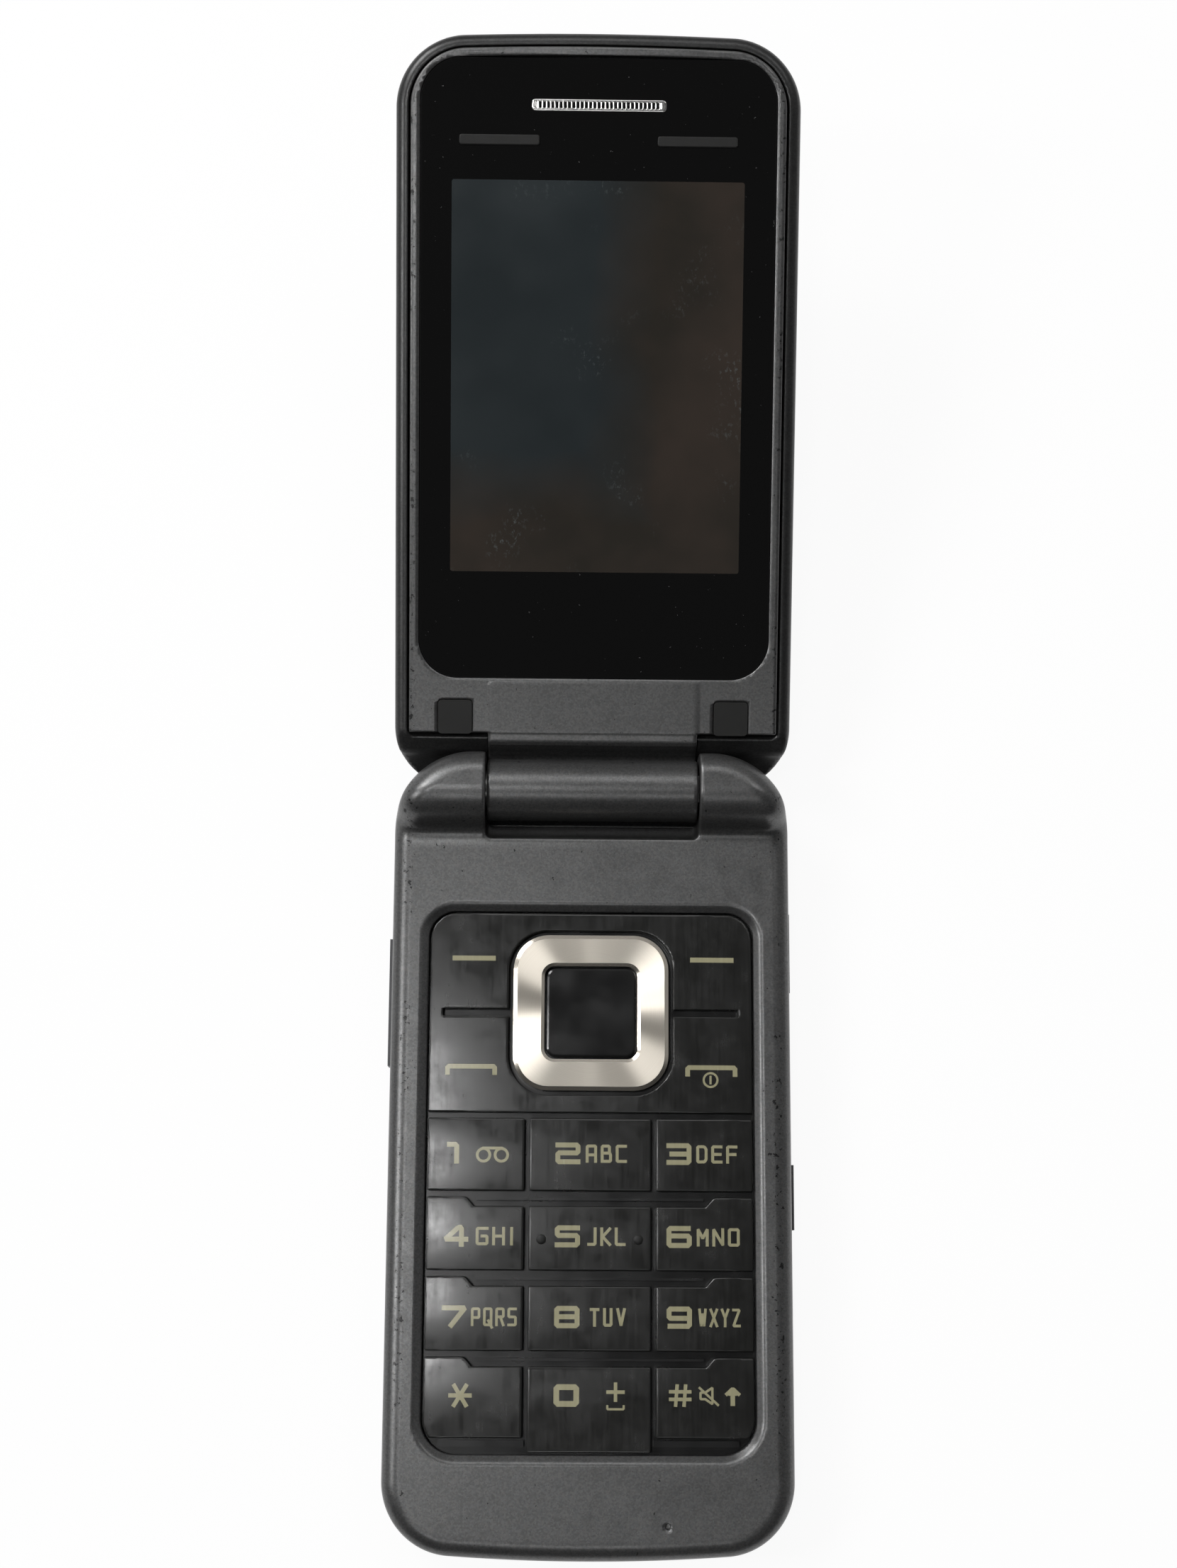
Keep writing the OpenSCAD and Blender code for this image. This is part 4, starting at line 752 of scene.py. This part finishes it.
# ------------ legends
# Centre lines of each glyph in a box one wide and one high; o closes a line
GLYPHS = {
    "1": ["0,1 1,1 1,0"], "2": ["0,1 1,1 1,.53 0,.53 0,0 1,0"], "3": ["0,1 1,1 1,0 0,0", ".15,.5 1,.5"],
    "4": [".78,0 .78,1 .62,1 0,.3 1,.3"], "5": ["1,1 0,1 0,.55 1,.55 1,0 0,0"],
    "6": [".95,1 0,1 0,0 1,0 1,.56 0,.56"], "7": ["0,1 1,1 .35,0"], "8": ["0,0 1,0 1,1 0,1 o", "0,.52 1,.52"],
    "9": [".05,0 1,0 1,1 0,1 0,.46 1,.46"], "0": ["0,0 1,0 1,1 0,1 o"],
    "A": ["0,0 0,1 1,1 1,0", "0,.42 1,.42"], "B": ["0,0 0,1 .86,1 .86,.54 0,.54", ".86,.54 1,.46 1,0 0,0"],
    "C": ["1,1 0,1 0,0 1,0"], "D": ["0,0 0,1 .8,1 1,.82 1,.18 .8,0 o"],
    "E": ["1,1 0,1 0,0 1,0", "0,.5 .9,.5"], "F": ["1,1 0,1 0,0", "0,.5 .9,.5"],
    "G": ["1,1 0,1 0,0 1,0 1,.5 .5,.5"],
    "H": ["0,0 0,1", "1,0 1,1", "0,.5 1,.5"], "I": [".5,0 .5,1"], "J": ["1,1 1,0 .2,0"],
    "K": ["0,0 0,1", "1,1 .12,.5 1,0"], "L": ["0,1 0,0 1,0"],
    "M": ["0,0 0,1 .5,.42 1,1 1,0"], "N": ["0,0 0,1 1,0 1,1"], "O": ["0,0 1,0 1,1 0,1 o"],
    "P": ["0,0 0,1 1,1 1,.45 0,.45"], "Q": ["0,0 1,0 1,1 0,1 o", ".6,.25 1.1,-.15"],
    "R": ["0,0 0,1 1,1 1,.5 0,.5", ".55,.5 1,0"], "S": ["1,1 0,1 0,.5 1,.5 1,0 0,0"],
    "T": ["0,1 1,1", ".5,1 .5,0"], "U": ["0,1 0,0 1,0 1,1"], "V": ["0,1 .5,0 1,1"],
    "W": ["0,1 .25,0 .5,.75 .75,0 1,1"],
    "X": ["0,0 1,1", "0,1 1,0"], "Y": ["0,1 .5,.5 1,1", ".5,.5 .5,0"], "Z": ["0,1 1,1 0,0 1,0"],
    "*": ["0,.5 1,.5", ".2,0 .8,1", ".2,1 .8,0"], "+": ["0,.5 1,.5", ".5,0 .5,1"],
    "#": [".26,0 .34,1", ".7,0 .78,1", "0,.3 1,.3", "0,.7 1,.7"], "_": ["0,1 0,0 1,0 1,1"],
    "mute": ["0,.3 0,.7 .3,.7 .75,1 .75,0 .3,.3 o", "-.05,.98 1.1,-.05"], "bracket": ["0,0 0,1 1,1 1,0"],
}

# How far a legend's band stands over its key, and how deep it is sunk in it
LEGEND_RISE, LEGEND_SUNK = 0.018, 0.03


def strokes(glyph, x, y, w, h, s):
    """A glyph's centre lines, inside a box from its lower left corner."""
    for text in GLYPHS[glyph]:
        parts = text.split()
        closed = parts[-1] == "o"
        parts = parts[:-1] if closed else parts
        points = [tuple(float(v) for v in part.split(",")) for part in parts]
        yield [(x + s / 2 + px * (w - s), y + s / 2 + py * (h - s)) for px, py in points], closed


def circle_stroke(cx, cy, r, steps=20):
    turns = [2 * math.pi * k / steps for k in range(steps)]
    return [(cx + r * math.cos(t), cy + r * math.sin(t)) for t in turns], True


def eased(points, closed, cut):
    """The line with its sharp turns cut off."""
    line, count = [], len(points)
    for k, p in enumerate(points):
        p = Vector(p)
        if closed or 0 < k < count - 1:
            before, after = Vector(points[k - 1]) - p, Vector(points[(k + 1) % count]) - p
            if before.angle(after) < math.radians(140):
                line += [p + v.normalized() * min(cut, v.length / 3) for v in (before, after)]
                continue
        line.append(p)
    return line


def dense(points, closed, span=0.8):
    """The line's points, with more between those further apart than span."""
    line, count = [], len(points)
    for k in range(count if closed else count - 1):
        a, b = Vector(points[k]), Vector(points[(k + 1) % count])
        pieces = max(1, int((b - a).length / span))
        line += [a.lerp(b, j / pieces) for j in range(pieces)]
    return line if closed else line + [Vector(points[-1])]


def ribbon(points, closed, width, height, out):
    """Adds a flat band along a line, with mitred corners and square ends, to out = (points, faces).
    The band's face stands LEGEND_RISE over the key, and its underside is sunk in it."""
    line = dense(eased(points, closed, 0.3 * width), closed)
    if not closed:
        first, last = (line[0] - line[1]).normalized(), (line[-1] - line[-2]).normalized()
        line[0] = line[0] + first * width / 2
        line[-1] = line[-1] + last * width / 2
    n = len(line)
    start = len(out[0])
    for k, p in enumerate(line):
        before = line[k - 1] if closed or k > 0 else None
        after = line[(k + 1) % n] if closed or k < n - 1 else None
        d1 = (p - before).normalized() if before is not None else (after - p).normalized()
        d2 = (after - p).normalized() if after is not None else d1
        across = Vector((-(d1 + d2).y, (d1 + d2).x)).normalized()
        reach = width / 2 / max(0.5, across.dot(Vector((-d1.y, d1.x))))
        for sign in (1, -1):
            q = p + across * reach * sign
            for lift in (LEGEND_RISE, -LEGEND_SUNK):
                out[0].append((q.x, q.y, height(q.x, q.y) + lift))
    for k in range(n if closed else n - 1):
        a, b = start + 4 * k, start + 4 * ((k + 1) % n)
        out[1].extend([(a, a + 2, b + 2, b), (a + 1, b + 1, b + 3, a + 3),
                       (a, b, b + 1, a + 1), (a + 2, a + 3, b + 3, b + 2)])
    if not closed:
        a, b = start, start + 4 * (n - 1)
        out[1].extend([(a, a + 1, a + 3, a + 2), (b, b + 2, b + 3, b + 1)])


def legend(key, height, glyphs=(), lines=()):
    """One printed legend. Each glyph is (name, left, low, width, height, stroke)."""
    out = ([], [])
    for glyph, x, y, w, h, s in glyphs:
        for points, closed in strokes(glyph, x, y, w, h, s):
            ribbon(points, closed, s, height, out)
    for points, closed, s in lines:
        ribbon(points, closed, s, height, out)
    piece = mesh_piece(key + "_legend", out[0], out[1], smooth=False)
    dress(piece, key, "legend_print")


def word(text, x, y, w, gap, h, s):
    """The letters of a word, as wide as each other but for I."""
    thin = 0.45
    units = sum(thin if c == "I" else 1 for c in text)
    letter = (w - gap * (len(text) - 1)) / units
    row = []
    for c in text:
        wide = letter * (thin if c == "I" else 1)
        row.append((c, x, y, wide, h, s))
        x += wide + gap
    return row


# Digits: width, height and stroke, left edge in each column, lower edge in each row
DIGIT_W, DIGIT_H, DIGIT_STROKE = 3.1, 2.65, 0.6
DIGIT_X = (-18.0, -4.3, 9.43)
DIGIT_Y = (-2.17, -12.25, -21.92, -31.15)
# Letters of each key, with their left edge and whole width
WORDS = {2: ("ABC", -0.55, 5.1), 3: ("DEF", 13.13, 5.1), 4: ("GHI", -14.0, 4.75), 5: ("JKL", -0.5, 4.9),
         6: ("MNO", 13.15, 5.3), 7: ("PQRS", -14.45, 5.6), 8: ("TUV", 0.05, 4.4), 9: ("WXYZ", 13.3, 5.2)}
WORD_RISE, WORD_H = 0.2, 2.22

# Key 1 has the sign for voice mail: two rings under a bar
mail_y, mail_x, mail_r, mail_stroke = -1.03, (-13.18, -10.98), 0.78, 0.34
mail = [circle_stroke(x, mail_y - 0.05, mail_r) + (mail_stroke,) for x in mail_x]
mail.append(([(-13.2, mail_y + mail_r), (-10.96, mail_y + mail_r)], False, mail_stroke))
legend("key_1", key_crown(0, 0), [("1", DIGIT_X[0] + 0.3, DIGIT_Y[0], 1.5, DIGIT_H, DIGIT_STROKE)], mail)
for digit, (text, word_x, span) in WORDS.items():
    r, c = divmod(digit - 1, 3)
    gap, stroke = (0.45, 0.36) if len(text) == 3 else (0.34, 0.32)
    glyphs = [(str(digit), DIGIT_X[c], DIGIT_Y[r], DIGIT_W, DIGIT_H, DIGIT_STROKE)]
    glyphs += word(text, word_x, DIGIT_Y[r] + WORD_RISE, span, gap, WORD_H, stroke)
    legend(f"key_{digit}", key_crown(r, c), glyphs)
legend("key_star", key_crown(3, 0), [("*", -17.05, -31.3, 2.85, 2.75, 0.5)])
legend("key_0", key_crown(3, 1), [("0", -4.3, -31.2, 3.1, 2.65, 0.68), ("+", 2.1, -30.6, 2.24, 2.3, 0.42),
                                  ("_", 2.1, -31.6, 2.24, 0.62, 0.26)])
arrow = [([(16.75, -29.62), (17.46, -28.98), (18.17, -29.62)], False, 0.42),
         ([(17.46, -29.2), (17.46, -30.75)], False, 0.55), ([(17.1, -29.66), (17.82, -29.66)], False, 0.34)]
legend("key_hash", key_crown(3, 2), [("#", 9.7, -31.15, 2.75, 2.65, 0.42),
                                     ("mute", 13.4, -30.95, 2.2, 2.2, 0.28)], arrow)
legend("soft_key_left", block_crown, lines=[([(-17.1, 23.35), (-12.3, 23.35)], False, 0.62)])
legend("soft_key_right", block_crown, lines=[([(12.75, 23.3), (17.6, 23.3)], False, 0.62)])
legend("call_key", block_crown, [("bracket", -18.1, 8.75, 6.45, 1.35, 0.58)])
off_sign = [circle_stroke(14.95, 8.3, 0.86) + (0.26,), ([(14.95, 7.9), (14.95, 8.7)], False, 0.26)]
legend("end_key", block_crown, [("bracket", 11.8, 8.72, 6.5, 1.4, 0.58)], off_sign)

# The two raised dots beside the digit 5: radius and height of each loop
DOT_X, DOT_Y = 5.95, -11.3
DOT_PROFILE = ((0.62, -0.05), (0.6, 0.02), (0.5, 0.1), (0.32, 0.16), (0.12, 0.185))
for side, side_name in ((-1, "left"), (1, "right")):
    top = key_crown(1, 1)(side * DOT_X, DOT_Y)
    loops = [at_z(circle_stroke(side * DOT_X, DOT_Y, r)[0], top + z) for r, z in DOT_PROFILE]
    dress(lofted("key_5_dot_" + side_name, loops), "key_5", "rubber")


# ------------ lid
# Profiles in Y and Z: the room for the ears in the lid's hinge end, and the neck that joins the
# barrel to the frame
EAR_ROOM = [(-RECESS_R - 2, 2), (-RECESS_R - 2, -1), (0, -1), (RECESS_R - 0.6, -2.2),
            (RECESS_END, INNER_Z - 0.5), (RECESS_END, 2)]
NECK = [(0, -2.7), (3, -2.8), (4.1, -2.6), (4.7, -2.0), (5.2, -1.2), (5.7, INNER_Z - 0.4),
        (6.2, INNER_Z - 0.05), (RECESS_END, INNER_Z), (FRAME_START + 2, INNER_Z), (FRAME_START + 2, -1.9),
        (FRAME_START, -NECK_DEPTH), (1.5, -NECK_DEPTH), (0, -BARREL_R + 0.2)]


def ear_room(y, z):
    return round_or(np.hypot(y, z) - RECESS_R, polygon(y, z, EAR_ROOM), 0.3)


def cover_field(x, y, z):
    plan = lid_plan(x, y)
    body = np.maximum(round_and(plan, z - RIM_Z, RIM_EDGE_R), round_and(plan, LID_BACK - z, BACK_EDGE_R))
    room = np.maximum(np.maximum(plan + BAND_W, LID_ROOM - z), FRAME_START - 0.3 - y)
    half_w, neck_half_w = HALF_W - BAND_W, BARREL_X + 0.1
    seat = block(x, y, z, (-half_w, RECESS_END - 0.5, -1.8), (half_w, FRAME_START + 6, 5), 1)
    neck = block(x, y, z, (-neck_half_w, -20, -NECK_DEPTH - 0.1), (neck_half_w, FRAME_START + 1, 5))
    body = without(body, union(room, seat, neck), 0.15)
    body = without(body, ear_room(y, z) + 0 * x, 0.35)
    camera_y, camera_r = CAMERA_HOLE
    half_w, low, high, r = STATUS_HOLE
    camera = np.maximum(np.hypot(x, y - camera_y) - camera_r, z - CAMERA_HOLE_Z)
    status = np.maximum(rect(x, y, -half_w, half_w, low, high, r), z - STATUS_HOLE_Z)
    return without(body, np.minimum(camera, status), 0.12)


def frame_field(x, y, z):
    plan = lid_plan(x, y) + FRAME_INSET
    plate = np.maximum(round_and(np.maximum(plan, RECESS_END - y), z - INNER_Z, 0.3), INNER_Z - FRAME_T - z)
    plate = without(plate, np.maximum(ear_room(y, z), BARREL_X - np.abs(x)), 0.3)
    axis = np.hypot(y, z)
    neck = round_or(axis - BARREL_R, polygon(y, z, NECK), 0.35)
    neck = round_and(neck, np.abs(x) - BARREL_X - 0.2, 0.25)
    body = round_or(plate, neck, 0.2)
    half_w = GLASS_X + GLASS_GAP
    straight_y = y + np.where(y > BOW_START, x * x / 2 / LID_BOW_R, 0)
    glass = rect(x, straight_y, -half_w, half_w, GLASS_LOW - GLASS_GAP, GLASS_HIGH + GLASS_GAP,
                 GLASS_R + GLASS_GAP)
    body = without(body, np.maximum(glass, INNER_Z - GLASS_T - z), 0.12)
    half_w = CAP_HOLE_W / 2
    caps = rect(np.abs(x), y, CAP_X - half_w, CAP_X + half_w, CAP_Y - half_w, CAP_Y + half_w, 0.5)
    body = without(body, np.maximum(caps, -CAP_DEPTH - z), 0.1)
    return without(body, axis - BORE_R + 0 * x, 0.1)


cover = field_mesh("lid_back_shell", cover_field, (-25.2, -1.2, -7.0), (25.2, 94.3, 1.2), 0.35, LID)
dress(cover, "lid", "cover_paint", "lid_outer_cover")
lid_frame = field_mesh("lid_frame_shell", frame_field, (-23.4, -4, -4.7), (23.4, 92.5, 4), 0.35, LID)
dress(lid_frame, "lid", "housing_paint", "lid_inner_frame")


def glass_loop(inset, z):
    return at_z(bend(rect_loop(GLASS_X, GLASS_LOW, GLASS_HIGH, GLASS_R, inset, 10)), z)


# The glass is a frame of black around the display's clear opening, with an eased outer edge
opening = rect_loop(SCREEN_X, SCREEN_LOW, SCREEN_HIGH, SCREEN_R, 0, 10)
glass_low = INNER_Z - GLASS_T
glass_loops = [at_z(opening, glass_low), glass_loop(0, glass_low), glass_loop(0, INNER_Z - 0.06),
               glass_loop(0.06, INNER_Z), glass_loop(0.14, INNER_Z), at_z(opening, INNER_Z)]
pane = lofted("window_pane", glass_loops, closed_ring=True, place=LID, sharp=12)
dress(pane, "lid", "gloss_black", "display_window")
display = lofted("display_face", [at_z(opening, glass_low), at_z(opening, INNER_Z)], place=LID)
dress(display, "lid", "display")


# ------------ flex cable
def arc(y, z, r, start, end, count):
    """Points of an arc in Y and Z, from start to end in degrees."""
    turns = [math.radians(start + (end - start) * k / count) for k in range(count + 1)]
    return [(y + r * math.cos(t), z + r * math.sin(t)) for t in turns]


def strip(path, x_low, x_high, out, closed=False, half=0.075):
    """Adds a thin strip along a path in Y and Z to out = (points, faces)."""
    start, n = len(out[0]), len(path)
    for k, (y, z) in enumerate(path):
        before = path[k - 1 if closed else max(k - 1, 0)]
        after = path[(k + 1) % n if closed else min(k + 1, n - 1)]
        along = Vector((after[0] - before[0], after[1] - before[1])).normalized() * half
        for sign in (1, -1):
            for x in (x_low, x_high)[::sign]:
                out[0].append((x, y - along.y * sign, z + along.x * sign))
    for k in range(n if closed else n - 1):
        a, b = start + 4 * k, start + 4 * ((k + 1) % n)
        out[1].extend([(a + j, a + (j + 1) % 4, b + (j + 1) % 4, b + j) for j in range(4)])
    if not closed:
        last = start + 4 * (n - 1)
        out[1].extend([(start + 3, start + 2, start + 1, start), (last, last + 1, last + 2, last + 3)])


# The cable: out of the base and up, in a roll about the hinge's axis, then down and on into the lid
in_base, in_lid = ([], []), ([], [])
strip([(35.9, 6.975)] + arc(44.3, 7.475, 0.5, -90, 0, 6) + [(HINGE_Y, 8.2)], -19.3, -17.7, in_base)
strip(arc(HINGE_Y, HINGE_Z, 1.425, 0, 350, 35), -19.3, 0.5, in_base, closed=True)
strip([(0, -1.45)] + arc(0.4, -2.775, 0.4, 180, 270, 6) + [(14.65, -3.175)], -1.1, 0.5, in_lid)
for body, (points, faces), place in (("base", in_base, None), ("lid", in_lid, LID)):
    flex = mesh_piece("flex_in_" + body, points, faces, place)
    soften(flex)
    dress(flex, body, "film", "hinge_flex")


def grille_field(x, y, z):
    """The bar that stands a little out of the glass, with a row of slots."""
    y = y - GRILLE_Y
    plan = rect(x, y, -GRILLE_X, GRILLE_X, -GRILLE_H / 2, GRILLE_H / 2, 0.5)
    plate = np.maximum(round_and(plan, z - INNER_Z - 0.04, 0.12), INNER_Z - 0.4 - z)
    step_x = x - GRILLE_PITCH * np.round(x / GRILLE_PITCH)
    slots = np.maximum(rect(step_x, y, -0.15, 0.15, -0.4, 0.4, 0.12), np.abs(x) - GRILLE_X + 0.72)
    return without(plate, np.maximum(slots, INNER_Z - 0.3 - z), 0.06)


grille = field_mesh("earpiece_grille_bar", grille_field, (-8.35, 84.5, -0.6), (8.35, 86.1, -0.16), 0.075, LID)
dress(grille, "lid", "bright_trim", "earpiece_grille")


def bumper_field(x, y, z):
    pad = round_and(rect(np.abs(x), y, *BUMPER_X, *BUMPER_Y, 0.35), z - INNER_Z - 0.15, 0.12)
    return np.maximum(pad, INNER_Z - 0.2 - z)


bumpers = field_mesh("window_bumper_pads", bumper_field, (-17.3, 80.3, -0.4), (17.3, 81.7, -0.05), 0.11, LID)
dress(bumpers, "lid", "rubber", "window_bumpers")

# ------------ camera, lights and floor, in metres
scene = bpy.context.scene
scene.view_settings.view_transform = "Standard"
camera_data = bpy.data.cameras.new("camera")
camera_data.sensor_fit = "HORIZONTAL"
camera_data.sensor_width = 36
camera_data.lens = 72.28
camera_data.clip_start = 0.01
camera = bpy.data.objects.new("camera", camera_data)
camera.location = (-0.0052426, -0.0135235, 0.3046242)
camera.rotation_euler = Euler([math.radians(a) for a in (11.3407, -0.9894, 0.3081)], "XYZ")
scene.collection.objects.link(camera)
scene.camera = camera


def lamp(name, at, towards, size, watts):
    """A white panel light."""
    data = bpy.data.lights.new(name, "AREA")
    data.shape, data.energy = "RECTANGLE", watts
    data.size, data.size_y = size
    light = bpy.data.objects.new(name, data)
    light.location = at
    light.rotation_euler = (Vector(towards) - Vector(at)).to_track_quat("-Z", "Y").to_euler()
    scene.collection.objects.link(light)


lamp("haze_light", (-0.17, 0.024, 1.0), (0, 0, 0), (0.12, 0.115), 1.25)
lamp("left_light", (-0.52, 0.56, 0.66), (0, 0.02, 0), (0.36, 0.36), 5.0)
lamp("side_light", (-0.72, 0.03, 0.68), (0, 0.01, 0), (0.12, 0.25), 2.2)
lamp("right_light", (0.42, 0.44, 0.8), (0, 0.02, 0), (0.22, 0.22), 0.6)
lamp("top_light", (-0.12, 0.5, 0.87), (0, 0.05, 0), (0.4, 0.12), 0.5)
lamp("back_light", (0.0, 0.66, 0.75), (0, 0.05, 0), (0.5, 0.15), 0.7)
lamp("front_light", (-0.1, -0.46, 0.95), (0, 0.05, 0), (0.4, 0.13), 0.75)

# A soft sky: brightest low down and beyond the lid, and dim overhead and beyond the keypad's end
world = bpy.data.worlds.new("world")
world.use_nodes = True
scene.world = world
tree = world.node_tree
split = tree.nodes.new("ShaderNodeSeparateXYZ")
tree.links.new(tree.nodes.new("ShaderNodeTexCoord").outputs["Generated"], split.inputs[0])
tilt = tree.nodes.new("ShaderNodeMath")
tilt.operation = "MULTIPLY_ADD"
tree.links.new(split.outputs[1], tilt.inputs[0])
tilt.inputs[1].default_value = -0.9
tree.links.new(split.outputs[2], tilt.inputs[2])
fade = tree.nodes.new("ShaderNodeMapRange")
fade.interpolation_type = "SMOOTHSTEP"
tree.links.new(tilt.outputs[0], fade.inputs[0])
for k, v in enumerate((0.45, 0.85, 0.3, 0.05)):
    fade.inputs[k + 1].default_value = v
background = tree.nodes["Background"]
tree.links.new(fade.outputs[0], background.inputs["Strength"])
background.inputs["Color"].default_value = (1, 1, 1, 1)

# The floor glows for the camera and in reflections, and still takes the phone's shadow
FLOOR_HALF_W, FLOOR_Z, FLOOR_GLOW = 3, -0.00002, 0.93
floor_mesh = bpy.data.meshes.new("floor")
corner_signs = ((-1, -1), (1, -1), (1, 1), (-1, 1))
floor_corners = [(x * FLOOR_HALF_W, y * FLOOR_HALF_W, FLOOR_Z) for x, y in corner_signs]
floor_mesh.from_pydata(floor_corners, [], [(0, 1, 2, 3)])
floor = bpy.data.objects.new("floor", floor_mesh)
scene.collection.objects.link(floor)
look = Nodes("floor")
look.set(Base_Color=(0.9, 0.9, 0.9, 1), Roughness=0.9)
ray = look.add("ShaderNodeLightPath").outputs
seen = look.math("MAXIMUM", ray["Is Camera Ray"], ray["Is Glossy Ray"])
seen = look.math("MAXIMUM", seen, ray["Is Transmission Ray"])
blend = look.add("ShaderNodeMixShader")
look.feed(blend.inputs[0], look.math("MULTIPLY", seen, FLOOR_GLOW))
look.feed(blend.inputs[1], look.shader.outputs[0])
look.feed(blend.inputs[2], look.add("ShaderNodeEmission").outputs[0])
look.feed(look.tree.nodes["Material Output"].inputs[0], blend.outputs[0])
floor.data.materials.append(look.material)
